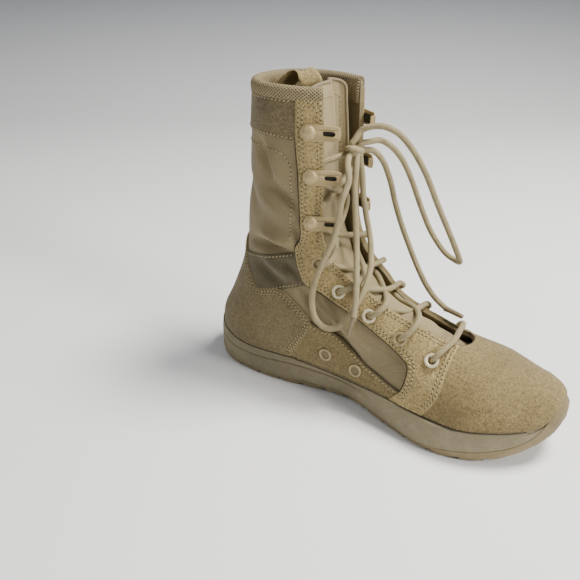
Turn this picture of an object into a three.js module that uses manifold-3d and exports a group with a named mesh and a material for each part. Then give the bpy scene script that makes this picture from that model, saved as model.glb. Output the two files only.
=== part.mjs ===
// Combat boot, left foot, standing empty on its sole.
// Millimetres, +Z up, toe towards +X, outer side of the foot towards +Y.
import * as THREE from "three";
import { mergeVertices } from "three/addons/utils/BufferGeometryUtils.js";
import Module from "manifold-3d";

const wasm = await Module();
wasm.setup();

// Driving sizes
const soleLength = 299;
const ballWidth = 111;
const heelWidth = 73;
const shaftWidth = 78;
const shaftHeight = 242;
const instepHeight = 118;
const heelThickness = 31;
const foreThickness = 26;
const wall = 2.2;
const clearance = 0.3;
const overlayThickness = 1.5;
const cuffThickness = 2.4;
const cuffInside = 17;
const cuffOutside = 6.5;
const insoleThickness = 4;
const tongueThickness = 2.4;
const tongueOverlap = 7;
const laceDiameter = 4.5;
const eyeletHole = 7.2;
const eyeletBore = 5.6;
const eyeletFlange = 10.6;
const ventFlange = 9.6;
const ventHole = 6;
const hookLength = 27;
const hookWidth = 11;
const hookMetal = 1;
const rivetDiameter = 9.6;
const lugDepth = 3;
const lugGap = 4;
const lugPitch = 20;
const pullLoopWidth = 17;

// A height share: 0 is the floor, 1 the instep where shaft and foot meet, 2 the collar.
const level = (share) =>
  share <= 1 ? share * instepHeight : instepHeight + (share - 1) * (shaftHeight - instepHeight);

// Smooth curve through evenly numbered rows, carried on in a straight line past both ends.
function through(values, place) {
  const last = values.length - 1;
  const from = Math.min(Math.max(Math.floor(place), 0), last - 1);
  const t = place - from;
  const before = values[Math.max(from - 1, 0)];
  const start = values[from];
  const end = values[from + 1];
  const after = values[Math.min(from + 2, last)];
  if (t < 0 || t > 1) return start + (end - start) * t;
  const slopeIn = from > 0 ? (end - before) / 2 : end - start;
  const slopeOut = from + 2 <= last ? (after - start) / 2 : end - start;
  return (
    start * (1 + 2 * t) * (1 - t) ** 2 +
    slopeIn * t * (1 - t) ** 2 +
    end * t * t * (3 - 2 * t) +
    slopeOut * t * t * (t - 1)
  );
}

// The same curve where the rows lie at their own places along a line.
function along(table, column, place) {
  const last = table.length - 1;
  let row = 0;
  while (row < last - 1 && place > table[row + 1][0]) row += 1;
  const span = table[row + 1][0] - table[row][0];
  const t = (place - table[row][0]) / span;
  if (t < 0 || t > 1) return table[row][column] + (table[row + 1][column] - table[row][column]) * t;
  const slope = (at) => {
    const low = Math.max(at - 1, 0);
    const high = Math.min(at + 1, last);
    return (table[high][column] - table[low][column]) / (table[high][0] - table[low][0]);
  };
  return (
    table[row][column] * (1 + 2 * t) * (1 - t) ** 2 +
    slope(row) * span * t * (1 - t) ** 2 +
    table[row + 1][column] * t * t * (3 - 2 * t) +
    slope(row + 1) * span * t * t * (t - 1)
  );
}

// Solids
function solidFrom(geometry) {
  const bare = geometry.clone();
  bare.deleteAttribute("normal");
  bare.deleteAttribute("uv");
  const merged = mergeVertices(bare, 1e-4);
  return new wasm.Manifold(
    new wasm.Mesh({
      numProp: 3,
      vertProperties: new Float32Array(merged.attributes.position.array),
      triVerts: new Uint32Array(merged.index.array),
    }),
  );
}

function solidFromTriangles(points, triangles) {
  const geometry = new THREE.BufferGeometry();
  geometry.setAttribute("position", new THREE.Float32BufferAttribute(points.flat(), 3));
  geometry.setIndex(triangles.flat());
  return solidFrom(geometry);
}

function geometryFrom(solid) {
  const mesh = solid.getMesh();
  const geometry = new THREE.BufferGeometry();
  geometry.setAttribute("position", new THREE.BufferAttribute(mesh.vertProperties, 3));
  geometry.setIndex(new THREE.BufferAttribute(mesh.triVerts, 1));
  return geometry;
}

// Rings of equal length joined side by side, each end closed by strips across the ring.
function loft(rings) {
  const count = rings[0].length;
  const points = rings.flat();
  const triangles = [];
  for (let ring = 0; ring < rings.length - 1; ring += 1) {
    for (let place = 0; place < count; place += 1) {
      const next = (place + 1) % count;
      const a = ring * count + place;
      const b = ring * count + next;
      const c = a + count;
      const d = b + count;
      triangles.push([a, b, d], [a, d, c]);
    }
  }
  const top = (rings.length - 1) * count;
  for (let place = 0; place < count / 2 - 1; place += 1) {
    const far = count - 1 - place;
    const corners = [place, place + 1, far - 1, far];
    const pairs = [[0, 2, 1], [0, 3, 2]];
    for (const [p, q, r] of pairs) {
      if (corners[p] !== corners[q] && corners[q] !== corners[r] && corners[p] !== corners[r]) {
        triangles.push([corners[p], corners[q], corners[r]]);
        triangles.push([top + corners[p], top + corners[r], top + corners[q]]);
      }
    }
  }
  return solidFromTriangles(points, triangles);
}

// A side outline of [x, z] points pushed through from y0 to y1.
function sidePrism(outline, y0, y1) {
  const shape = new THREE.Shape(outline.map(([x, z]) => new THREE.Vector2(x, z)));
  const geometry = new THREE.ExtrudeGeometry(shape, { depth: y1 - y0, bevelEnabled: false });
  geometry.rotateX(Math.PI / 2);
  geometry.translate(0, y1, 0);
  return solidFrom(geometry);
}

// The sole: a centre line and a half width along its length, both ends rounded.
// Columns: place along the length, centre as a share of ball width,
// half width as a share of heel width and of ball width.
const outlineRows = [
  [0, 0, 0.5, 0],
  [0.12, 0.002, 0.5, 0],
  [0.22, 0.018, 0.36, 0.115],
  [0.35, 0.063, 0.2, 0.22],
  [0.48, 0.09, 0.07, 0.303],
  [0.6, 0.088, 0, 0.434],
  [0.7, 0.079, 0, 0.498],
  [0.8, 0.083, 0, 0.505],
  [0.9, 0.081, 0, 0.477],
  [1, 0.068, 0, 0.423],
];
const heelRound = 42;
const toeRound = 80;
const outlineStations = 21;

const roundedEnd = (distance, radius) =>
  distance >= radius ? 1 : Math.sqrt(Math.max(0, 1 - (1 - distance / radius) ** 2));

function outlineAt(x) {
  const share = x / soleLength;
  const centre = along(outlineRows, 1, share) * ballWidth;
  const full = along(outlineRows, 2, share) * heelWidth + along(outlineRows, 3, share) * ballWidth;
  const half = full * roundedEnd(x, heelRound) * roundedEnd(soleLength - x, toeRound);
  return { centre, half };
}

// Points round the outline: heel, inner side, toe, outer side.
function outlineRing() {
  const ring = [];
  for (let side = -1; side <= 1; side += 2) {
    for (let step = 0; step < outlineStations; step += 1) {
      const turn = (Math.PI * (step + (side > 0 ? 1 : 0))) / outlineStations;
      const x = (soleLength / 2) * (side < 0 ? 1 - Math.cos(turn) : 1 + Math.cos(turn));
      const { centre, half } = outlineAt(x);
      ring.push([x, centre + side * half]);
    }
  }
  return ring;
}

function insetRing(ring, insetAt) {
  return ring.map(([x, y], place) => {
    const before = ring[(place + ring.length - 1) % ring.length];
    const after = ring[(place + 1) % ring.length];
    const run = new THREE.Vector2(after[0] - before[0], after[1] - before[1]).normalize();
    const inset = insetAt(x);
    return [x - run.y * inset, y + run.x * inset];
  });
}

// Heights of the sole along its length, as shares of heel and forefoot thickness.
// Columns: place, tread height, top line, line between midsole and outsole, groove depth.
const heightRows = [
  [0, 0.1, 1.13, 0.14, 1],
  [0.04, 0, 1.06, 0.14, 1],
  [0.14, 0, 0.93, 0.14, 1],
  [0.3, 0.02, 1.03, 0.15, 1],
  [0.38, 0.1, 1.06, 0.23, 1],
  [0.48, 0.1, 1.03, 0.23, 0.8],
  [0.58, 0.03, 1.03, 0.18, 0],
  [0.7, 0, 1.0, 0.15, 0],
  [0.78, 0.02, 1.02, 0.3, 0],
  [0.86, 0.12, 1.12, 0.48, 0],
  [0.92, 0.3, 1.2, 0.72, 0],
  [0.96, 0.5, 1.33, 1.1, 0],
  [0.985, 0.72, 1.68, 1.75, 0],
  [1, 0.95, 1.85, 2.0, 0],
];
const thicknessAt = (share) =>
  heelThickness + (foreThickness - heelThickness) * THREE.MathUtils.smoothstep(share, 0.2, 0.65);
const heightAt = (column, x) =>
  along(heightRows, column, x / soleLength) * thicknessAt(x / soleLength);
const flatRoom = 0.4;
const treadAt = (x) => Math.max(0, heightAt(1, x) - flatRoom);
const toplineAt = (x) => heightAt(2, x);
const splitAt = (x) => heightAt(3, x);
const grooveAt = (x) => along(heightRows, 4, x / soleLength) * 1.3;

const profileSteps = 28;
function profileLine(heightOf, from, to) {
  const line = [];
  for (let step = 0; step <= profileSteps; step += 1) {
    const x = from + ((to - from) * step) / profileSteps;
    line.push([x, heightOf(x)]);
  }
  return line;
}

function aboveLine(heightOf, ceiling) {
  const line = profileLine(heightOf, -8, soleLength + 8);
  return sidePrism([...line, [soleLength + 8, ceiling], [-8, ceiling]], -ballWidth, ballWidth);
}

function soleBlock() {
  const ring = outlineRing();
  const toeLean = (x) => 1 + 2.6 * THREE.MathUtils.smoothstep(x, 0.88 * soleLength, soleLength);
  const levels = [
    [(x) => treadAt(x), (x) => 2.6 * toeLean(x)],
    [(x) => treadAt(x) + 2.5, (x) => 0.9 * toeLean(x)],
    [(x) => treadAt(x) + 6, () => 0],
    [(x) => toplineAt(x) - 11.5, () => 0],
    [(x) => toplineAt(x) - 10.3, (x) => grooveAt(x)],
    [(x) => toplineAt(x) - 9.1, (x) => grooveAt(x) * 0.2],
    [(x) => toplineAt(x) - 3, (x) => 0.5 * toeLean(x)],
    [(x) => toplineAt(x) + 6, (x) => 1.6 * toeLean(x)],
  ];
  const rings = levels.map(([heightOf, insetOf]) =>
    insetRing(ring, insetOf).map(([x, y]) => [x, y, heightOf(x)]),
  );
  return loft(rings);
}

// The last: slices that fan from level ones in the shaft to upright ones in the forefoot.
// Columns: x of the back or bottom end, its height share, x of the front or top end, its height
// share, centre, inner half and outer half as shares of ball width, shaft share of the halves,
// place of the widest point, fullness of the back, of the inner front and of the outer front.
const sectionRows = [
  [0.146, 2.01, 0.428, 1.98, 0, 0, 0, 0.475, 0.42, 2.1, 2.1, 2.1],
  [0.128, 1.58, 0.424, 1.56, 0, 0, 0, 0.475, 0.48, 2.1, 2.1, 2.1],
  [0.112, 1.22, 0.424, 1.22, 0, 0, 0, 0.46, 0.55, 2.1, 2.2, 2.1],
  [0.1, 0.87, 0.452, 1.03, 0, 0, 0, 0.465, 0.52, 2.1, 2.2, 2.1],
  [0.06, 0.58, 0.5, 0.95, 0, 0.02, 0.02, 0.455, 0.44, 2.2, 2.3, 2],
  [0.023, 0.34, 0.545, 0.89, 0, 0.06, 0.06, 0.42, 0.42, 2.4, 2.4, 1.9],
  [0.035, 0, 0.588, 0.82, 0.01, 0.1, 0.1, 0.37, 0.4, 2.4, 2.5, 1.8],
  [0.152, -0.12, 0.628, 0.765, 0.02, 0.15, 0.15, 0.29, 0.4, 2.4, 2.6, 1.75],
  [0.304, -0.136, 0.669, 0.71, 0.035, 0.22, 0.22, 0.19, 0.4, 2.5, 2.6, 1.7],
  [0.473, -0.1, 0.716, 0.64, 0.045, 0.33, 0.33, 0.07, 0.4, 2.6, 2.6, 1.7],
  [0.625, -0.07, 0.77, 0.58, 0.06, 0.43, 0.42, 0, 0.4, 2.6, 2.5, 1.8],
  [0.76, -0.03, 0.824, 0.53, 0.07, 0.46, 0.45, 0, 0.4, 2.6, 2.3, 1.9],
  [0.851, 0, 0.876, 0.495, 0.075, 0.41, 0.4, 0, 0.42, 2.6, 2.2, 2],
  [0.928, 0.06, 0.93, 0.455, 0.08, 0.31, 0.31, 0, 0.45, 2.4, 2.2, 2.1],
  [0.976, 0.15, 0.972, 0.415, 0.075, 0.19, 0.2, 0, 0.48, 2.2, 2.1, 2.1],
  [0.995, 0.28, 0.993, 0.35, 0.07, 0.06, 0.06, 0, 0.5, 2, 2, 2],
];
const lastRow = sectionRows.length - 1;
const columnAt = (column, place) => through(sectionRows.map((row) => row[column]), place);
const ringCount = 20;
const sectorCount = 20;
const firstPlace = -0.5;

function lastPoint(place, anyTurn) {
  const turn = Math.atan2(Math.sin(anyTurn), Math.cos(anyTurn));
  const back = [columnAt(0, place) * soleLength, level(columnAt(1, place))];
  const front = [columnAt(2, place) * soleLength, level(columnAt(3, place))];
  const inner = turn < 0;
  const shaftHalf = columnAt(7, place) * shaftWidth;
  const half = columnAt(inner ? 5 : 6, place) * ballWidth + shaftHalf;
  const widest = columnAt(8, place);
  const round = Math.abs(turn);
  const rear = round < Math.PI / 2;
  const fullness = columnAt(rear ? 9 : inner ? 10 : 11, place);
  const run = Math.abs(Math.cos(round)) ** (2 / fullness);
  const across = Math.abs(Math.sin(round)) ** (2 / fullness);
  const depth = rear ? widest * (1 - run) : widest + (1 - widest) * run;
  const side = half * across * Math.sign(turn);
  return new THREE.Vector3(
    back[0] + (front[0] - back[0]) * depth,
    columnAt(4, place) * ballWidth + side,
    back[1] + (front[1] - back[1]) * depth,
  );
}

function lastNormal(place, turn) {
  const step = 0.03;
  const down = lastPoint(place + step, turn).sub(lastPoint(place - step, turn));
  const round = lastPoint(place, turn + step).sub(lastPoint(place, turn - step));
  return round.cross(down).normalize();
}

function lastRing(place, offset) {
  const ring = [];
  for (let step = 0; step < sectorCount; step += 1) {
    const turn = -Math.PI + (2 * Math.PI * (step + 0.5)) / sectorCount;
    const point = lastPoint(place, turn).addScaledVector(lastNormal(place, turn), offset);
    ring.push(point.toArray());
  }
  return ring;
}

// The closed form of the last, moved outwards by an offset.
function lastForm(offset) {
  const rings = [];
  for (let ring = 0; ring < ringCount; ring += 1) {
    const place = firstPlace + ((lastRow - firstPlace) * ring) / (ringCount - 1);
    rings.push(lastRing(place, offset));
  }
  return loft(rings);
}


const onLast = (place, turn, height) =>
  lastPoint(place, turn).addScaledVector(lastNormal(place, turn), height);

// Sole
const sole = soleBlock().subtract(aboveLine(toplineAt, 2 * shaftHeight));
const midsole = sole.intersect(aboveLine((x) => splitAt(x) + clearance, shaftHeight));

// Tread: cross grooves between the lugs and one groove along the middle, none in the arch.
function treadGrooves() {
  let grooves = null;
  for (let x = lugPitch; x < 0.9 * soleLength; x += lugPitch) {
    const base = treadAt(x);
    const outline = [
      [x - lugGap / 2, base - lugDepth],
      [x + lugGap / 2, base - lugDepth],
      [x + lugGap / 2, base + lugDepth],
      [x - lugGap / 2, base + lugDepth],
    ];
    const groove = sidePrism(outline, -ballWidth, ballWidth);
    grooves = grooves ? grooves.add(groove) : groove;
  }
  const middle = new THREE.Shape();
  const half = lugGap / 2;
  middle.moveTo(0.05 * soleLength, -half);
  middle.lineTo(0.3 * soleLength, 0.03 * ballWidth - half);
  middle.lineTo(0.92 * soleLength, 0.08 * ballWidth - half);
  middle.lineTo(0.92 * soleLength, 0.08 * ballWidth + half);
  middle.lineTo(0.3 * soleLength, 0.03 * ballWidth + half);
  middle.lineTo(0.05 * soleLength, half);
  const slot = new THREE.ExtrudeGeometry(middle, { depth: 2 * heelThickness, bevelEnabled: false });
  slot.translate(0, 0, -heelThickness);
  const cut = profileLine((x) => treadAt(x) + lugDepth, -8, soleLength + 8);
  const below = [...cut, [soleLength + 8, -lugDepth], [-8, -lugDepth]].reverse();
  return grooves.add(solidFrom(slot).intersect(sidePrism(below, -ballWidth, ballWidth)));
}
const outsole = sole.subtract(aboveLine(splitAt, shaftHeight)).subtract(treadGrooves());

// Upper
const form = (offset) => lastForm(offset);
const outerForm = form(0);
const innerForm = form(-wall);
const aboveSole = aboveLine((x) => toplineAt(x) + clearance, shaftHeight * 2);
const collarAt = (x) => level(2) + 0.02 * shaftHeight * (0.5 - x / soleLength);
const aboveCollar = aboveLine(collarAt, shaftHeight * 2);

// Half width of the throat at each section, as a share of ball width.
const throatRows = [0.256, 0.243, 0.248, 0.226, 0.203, 0.194, 0.185, 0.176, 0.167, 0.15, 0.1];
const throatEnd = 9.75;
const throatHalf = (place) => through(throatRows, place) * ballWidth;

function frontTurn(place, across) {
  const half =
    columnAt(across < 0 ? 5 : 6, place) * ballWidth + columnAt(7, place) * shaftWidth;
  const fullness = columnAt(across < 0 ? 10 : 11, place);
  const share = Math.min(Math.abs(across) / half, 1);
  return Math.sign(across || 1) * (Math.PI - Math.asin(share ** (fullness / 2)));
}

// Direction from the back of a section to its front.
function sectionRun(place) {
  const back = lastPoint(place, 0);
  return lastPoint(place, Math.PI).sub(back).setY(0).normalize();
}

function throatCutter() {
  const rings = [];
  const steps = 22;
  for (let step = 0; step <= steps; step += 1) {
    const place = firstPlace + ((throatEnd - firstPlace) * step) / steps;
    const half = throatHalf(place);
    const centre = columnAt(4, place) * ballWidth;
    const run = sectionRun(place);
    const front = lastPoint(place, Math.PI);
    const inside = front.clone().addScaledVector(run, -0.33 * shaftWidth);
    const outside = front.clone().addScaledVector(run, 0.3 * shaftWidth);
    rings.push([
      [outside.x, centre - half, outside.z],
      [inside.x, centre - half, inside.z],
      [inside.x, centre + half, inside.z],
      [outside.x, centre + half, outside.z],
    ]);
  }
  return loft(rings);
}
const throat = throatCutter();

// A place on the surface with its outward, forward and upward directions.
function seatOn(place, turn) {
  const normal = lastNormal(place, turn);
  const forward = lastPoint(place, turn + Math.sign(turn) * 0.1).sub(lastPoint(place, turn));
  forward.addScaledVector(normal, -forward.dot(normal)).normalize();
  const upward = new THREE.Vector3().crossVectors(normal, forward);
  const frame = new THREE.Matrix4().makeBasis(forward, upward, normal);
  frame.setPosition(lastPoint(place, turn));
  return frame;
}

function seated(geometry, frame) {
  const copy = geometry.clone().applyMatrix4(frame);
  return solidFrom(copy);
}

function turned(profile, sides) {
  const geometry = new THREE.LatheGeometry(
    profile.map(([radius, height]) => new THREE.Vector2(radius, height)),
    sides,
  );
  geometry.rotateX(Math.PI / 2);
  return geometry;
}

// Eyelets and hooks: place along the sections and turn from the front, inner side and outer side.
const eyeletRows = [
  [2.93, 2.14],
  [4.44, 2.3],
  [5.95, 2.44],
  [7.68, 2.41],
  [9.12, 2.41],
];
const hookRows = [
  [0.45, 2.09],
  [1.06, 2.13],
  [1.85, 2.1],
];
const ventRows = [
  [6.95, 1.77],
  [7.99, 1.75],
];
const sides = [
  ["inner", -1],
  ["outer", 1],
];

function drill(rows, diameter, from, to, direction) {
  const cylinder = new THREE.CylinderGeometry(diameter / 2, diameter / 2, to - from, 10);
  cylinder.rotateX(Math.PI / 2);
  cylinder.translate(0, 0, (from + to) / 2);
  let holes = null;
  for (const [place, turn] of rows) {
    const hole = seated(cylinder, seatOn(place, direction * turn));
    holes = holes ? holes.add(hole) : hole;
  }
  return holes;
}
const laceHoles = drill(eyeletRows, eyeletHole, -8, 8, -1).add(
  drill(eyeletRows, eyeletHole, -8, 8, 1),
);
const ventHoles = drill(ventRows, ventHole, -8, 8, -1);

const upper = outerForm
  .subtract(innerForm)
  .intersect(aboveSole)
  .subtract(aboveCollar)
  .subtract(throat)
  .subtract(laceHoles);

// Panels laid on the upper
const panelTop = clearance + overlayThickness;
const panelSkin = form(panelTop)
  .subtract(form(clearance))
  .intersect(aboveSole)
  .subtract(aboveLine((x) => collarAt(x) - cuffOutside - clearance, shaftHeight * 2))
  .subtract(throat);

const sideOutline = (rows) => rows.map(([x, z]) => [x * soleLength, level(z)]);

function grown(outline, distance) {
  const area = outline.reduce((sum, [x, z], place) => {
    const [nextX, nextZ] = outline[(place + 1) % outline.length];
    return sum + x * nextZ - nextX * z;
  }, 0);
  const sign = Math.sign(area);
  return outline.map(([x, z], place) => {
    const before = outline[(place + outline.length - 1) % outline.length];
    const after = outline[(place + 1) % outline.length];
    const into = new THREE.Vector2(x - before[0], z - before[1]).normalize();
    const out = new THREE.Vector2(after[0] - x, after[1] - z).normalize();
    const lean = new THREE.Vector2(into.y + out.y, -into.x - out.x).normalize();
    const reach = (sign * distance) / Math.max(0.5, lean.x * into.y - lean.y * into.x);
    return [x + lean.x * reach, z + lean.y * reach];
  });
}

// Side outlines of the panels: x as a share of sole length, height share.
const eyestayOutline = sideOutline([
  [0.316, 2.4],
  [0.317, 1.75],
  [0.326, 1.54],
  [0.329, 1.33],
  [0.334, 1.17],
  [0.316, 1.07],
  [0.334, 0.915],
  [0.349, 0.85],
  [0.386, 0.835],
  [0.468, 0.737],
  [0.576, 0.588],
  [0.62, 0.522],
  [0.641, 0.495],
  [0.647, 0.44],
  [0.643, 0.33],
  [0.6, 0.2],
  [0.585, 0.1],
  [0.675, 0.1],
  [0.692, 0.17],
  [0.735, 0.355],
  [0.737, 0.46],
  [0.736, 0.54],
  [0.736, 1.3],
  [0.6, 2.4],
]);
const counterOutline = sideOutline([
  [-0.05, 1.02],
  [0.113, 1.02],
  [0.14, 0.9],
  [0.2, 0.72],
  [0.275, 0.78],
  [0.323, 0.722],
  [0.362, 0.65],
  [0.375, 0.6],
  [0.372, 0.545],
  [0.35, 0.445],
  [0.313, 0.3],
  [0.3, 0.1],
  [-0.05, 0.1],
]);
const ankleOutline = sideOutline([
  [0, 0.9],
  [0.1, 0.9],
  [0.185, 0.955],
  [0.31, 1.05],
  [0.42, 1.1],
  [0.42, 0.84],
  [0.345, 0.84],
  [0.27, 0.76],
  [0.2, 0.7],
  [0, 0.7],
]);
const collarBandOutline = sideOutline([
  [-0.05, 1.93],
  [0.2, 1.93],
  [0.5, 1.9],
  [0.5, 1.715],
  [0.25, 1.74],
  [-0.05, 1.76],
]);
const quarterOutline = sideOutline([
  [0.33, 0.7],
  [0.377, 0.585],
  [0.41, 0.56],
  [0.438, 0.565],
  [0.475, 0.498],
  [0.526, 0.4],
  [0.578, 0.35],
  [0.615, 0.315],
  [0.66, 0.28],
  [0.66, 0.05],
  [0.29, 0.05],
  [0.29, 0.3],
]);
const vampOutline = sideOutline([
  [0.6925, 0],
  [0.695, 0.17],
  [0.7375, 0.355],
  [0.7395, 0.46],
  [0.7385, 0.54],
  [0.7385, 1.2],
  [1.1, 1.2],
  [1.1, 0],
]);
const across = (outline) => sidePrism(outline, -ballWidth, ballWidth);
const seam = 0.4;
const eyestayZone = across(grown(eyestayOutline, seam));
const counterZone = across(grown(counterOutline, seam));
const half = (outline, direction) =>
  direction < 0 ? sidePrism(outline, -ballWidth, -1) : sidePrism(outline, 1, ballWidth);

const counter = panelSkin.intersect(across(counterOutline));
const vamp = panelSkin.intersect(across(vampOutline)).subtract(eyestayZone);
const collarBand = panelSkin.intersect(across(collarBandOutline)).subtract(eyestayZone);
const eyestaySkin = panelSkin.subtract(laceHoles);
const sidePanels = sides.map(([side, direction]) => {
  const ankle = panelSkin.intersect(half(ankleOutline, direction));
  const strip = panelSkin.intersect(half(quarterOutline, direction));
  const quarter = strip.subtract(counterZone).subtract(eyestayZone);
  return {
    side,
    eyestay: eyestaySkin.intersect(half(eyestayOutline, direction)),
    ankle: ankle.subtract(counterZone).subtract(eyestayZone),
    quarter: direction < 0 ? quarter.subtract(ventHoles) : quarter,
  };
});

// Cuff: folded over the rim, open at the throat.
const cuffBand = form(panelTop)
  .subtract(form(-wall - cuffThickness))
  .subtract(aboveLine((x) => collarAt(x) + cuffThickness + clearance, shaftHeight * 2))
  .subtract(throat);
const rimRoom = form(clearance)
  .subtract(form(-wall - clearance))
  .subtract(aboveLine((x) => collarAt(x) + clearance, shaftHeight * 2));
const outsideLow = outerForm
  .subtract(aboveLine((x) => collarAt(x) - cuffInside, shaftHeight * 2));
const cuffOuterZone = form(overlayThickness * 4)
  .subtract(outerForm)
  .subtract(aboveLine((x) => collarAt(x) - cuffOutside, shaftHeight * 2));
const cuff = cuffBand.subtract(rimRoom).subtract(outsideLow).subtract(cuffOuterZone);

// Insole
const insoleSlab = aboveLine((x) => toplineAt(x) + clearance, shaftHeight).subtract(
  aboveLine((x) => toplineAt(x) + clearance + insoleThickness, shaftHeight * 2),
);
const insoleReach = sidePrism(
  [
    [-5, 0],
    [0.945 * soleLength, 0],
    [0.945 * soleLength, shaftHeight],
    [-5, shaftHeight],
  ],
  -ballWidth,
  ballWidth,
);
const insole = form(-wall - clearance).intersect(insoleSlab).intersect(insoleReach);

// Tongue: hangs under the throat, flatter than the last, with an arched top.
const tongueDepth = wall + cuffThickness + 2 * clearance;
const tongueTop = -0.06;
const tongueFlat = (place) => THREE.MathUtils.clamp(0.75 - 0.07 * place, 0.2, 0.75);
function tonguePoint(place, share, depth) {
  const reach = throatHalf(place) + tongueOverlap;
  const across = share * reach;
  const turn = frontTurn(place, across);
  const run = sectionRun(place);
  const edge = lastPoint(place, frontTurn(place, Math.sign(share || 1) * reach));
  const point = lastPoint(place, turn);
  const rise = point.clone().sub(edge).setY(0).dot(run);
  point.addScaledVector(lastNormal(place, turn), -tongueDepth);
  return point.addScaledVector(run, -tongueFlat(place) * rise - depth);
}
function tongueSolid() {
  const rings = [];
  const rows = 16;
  const columns = 8;
  for (let row = 0; row <= rows; row += 1) {
    const ring = [];
    for (let column = 0; column <= columns; column += 1) {
      const share = -1 + (2 * column) / columns;
      const top = tongueTop + 0.2 * share ** 4;
      const place = top + ((throatEnd + 0.25 - top) * row) / rows;
      ring.push(tonguePoint(place, share, 0).toArray());
    }
    for (let column = columns; column >= 0; column -= 1) {
      const share = -1 + (2 * column) / columns;
      const top = tongueTop + 0.2 * share ** 4;
      const place = top + ((throatEnd + 0.25 - top) * row) / rows;
      ring.push(tonguePoint(place, share, tongueThickness).toArray());
    }
    rings.push(ring.reverse());
  }
  return loft(rings);
}
const tongue = tongueSolid();

// Pull loop: a suede strip folded over inside the back of the collar.
// Columns: x, y and z from its foot, and how far it has turned, in strip widths and degrees.
const loopRows = [
  [0, 0, 0, 90],
  [0, 0, 0.7, 90],
  [0.35, 0.05, 1.45, 80],
  [0.95, 0.2, 2.2, 65],
  [1.5, 0.3, 2.5, 55],
  [1.9, 0.35, 2.1, 50],
  [1.75, 0.35, 1.4, 55],
  [1.2, 0.25, 0.75, 70],
  [0.6, 0.1, 0.3, 85],
];
const loopThickness = 1.6;
const loopFoot = onLast(0.7, 0.1, -wall - clearance - 2.6 * loopThickness);
function pullLoopSolid() {
  const points = loopRows.map(([x, y, z]) =>
    new THREE.Vector3(x, y, z).multiplyScalar(pullLoopWidth).add(loopFoot),
  );
  const rings = points.map((point, row) => {
    const before = points[Math.max(row - 1, 0)];
    const after = points[Math.min(row + 1, points.length - 1)];
    const run = after.clone().sub(before).normalize();
    const turn = THREE.MathUtils.degToRad(loopRows[row][3]);
    const wide = new THREE.Vector3(Math.cos(turn), Math.sin(turn), 0);
    wide.addScaledVector(run, -wide.dot(run)).normalize().multiplyScalar(pullLoopWidth / 2);
    const thick = new THREE.Vector3().crossVectors(run, wide).normalize();
    thick.multiplyScalar(loopThickness / 2);
    const corner = (a, b) =>
      point.clone().addScaledVector(wide, a).addScaledVector(thick, b).toArray();
    return [corner(-1, -1), corner(1, -1), corner(1, 1), corner(-1, 1)];
  });
  return loft(rings);
}

// Metal fittings
const eyeletLip = panelTop + 0.7;
const eyelet = turned(
  [
    [eyeletBore / 2, -wall - 1.6],
    [eyeletHole / 2 - clearance, -wall - 1.6],
    [eyeletHole / 2 - clearance, eyeletLip],
    [eyeletFlange / 2, eyeletLip],
    [eyeletFlange / 2 - 1, eyeletLip + 1],
    [eyeletBore / 2, eyeletLip + 0.8],
    [eyeletBore / 2, -wall - 1.6],
  ],
  8,
);
const eyeletTop = eyeletLip + 1;
const ventBase = panelTop + 2.4 * clearance;
const ventEyelet = turned(
  [
    [0, 2 * clearance],
    [ventHole / 2 - clearance, 2 * clearance],
    [ventHole / 2 - clearance, ventBase],
    [ventFlange / 2, ventBase],
    [ventFlange / 2 - 1, ventBase + 1],
    [ventHole / 2 - 0.4, ventBase + 0.7],
    [ventHole / 2 - 0.8, ventBase],
    [0, ventBase],
  ],
  8,
);

const hookBase = panelTop + 1.6 * clearance;
function hookSolid() {
  const round = hookWidth / 2;
  const rear = -rivetDiameter / 2 - 1;
  const front = rear + hookLength;
  const plate = new THREE.Shape();
  plate.absarc(rear + round, 0, round, Math.PI / 2, (3 * Math.PI) / 2, false);
  plate.lineTo(front - round * 0.6, -round * 0.9);
  plate.absarc(front - round * 0.6, 0, round * 0.9, -Math.PI / 2, Math.PI / 2, false);
  const slot = new THREE.Path();
  const slotRound = hookWidth * 0.17;
  slot.absarc(front - round * 1.9, 0, slotRound, Math.PI / 2, (3 * Math.PI) / 2, false);
  slot.absarc(front - round * 0.9, 0, slotRound, -Math.PI / 2, Math.PI / 2, false);
  plate.holes.push(slot);
  const sheet = new THREE.ExtrudeGeometry(plate, {
    depth: hookMetal,
    bevelEnabled: false,
    curveSegments: 4,
  });
  sheet.translate(0, 0, hookBase);
  const dome = turned(
    [
      [0, hookBase + hookMetal / 2],
      [rivetDiameter / 2, hookBase + hookMetal / 2],
      [rivetDiameter / 2, hookBase + hookMetal + 0.5],
      [rivetDiameter * 0.36, hookBase + hookMetal + 1.9],
      [0, hookBase + hookMetal + 2.6],
    ],
    8,
  );
  const lip = new THREE.BoxGeometry(hookMetal, hookWidth * 0.6, hookLength * 0.13);
  lip.translate(front - hookMetal * 0.8, 0, hookBase + hookMetal / 2 - hookLength * 0.065);
  return [sheet, dome, lip];
}
const hookPieces = hookSolid();
const hookAt = (frame) =>
  hookPieces.map((piece) => seated(piece, frame)).reduce((joined, piece) => joined.add(piece));

// Laces
const laceRadius = laceDiameter / 2;
const laceSides = 6;
function laceTube(points, steps) {
  const section = new THREE.Shape();
  for (let side = 0; side < laceSides; side += 1) {
    const turn = (2 * Math.PI * side) / laceSides;
    const corner = [laceRadius * Math.cos(turn), laceRadius * Math.sin(turn)];
    if (side === 0) section.moveTo(...corner);
    else section.lineTo(...corner);
  }
  const path = new THREE.CatmullRomCurve3(points, false, "centripetal");
  return solidFrom(
    new THREE.ExtrudeGeometry(section, { steps, bevelEnabled: false, extrudePath: path }),
  );
}

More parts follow.
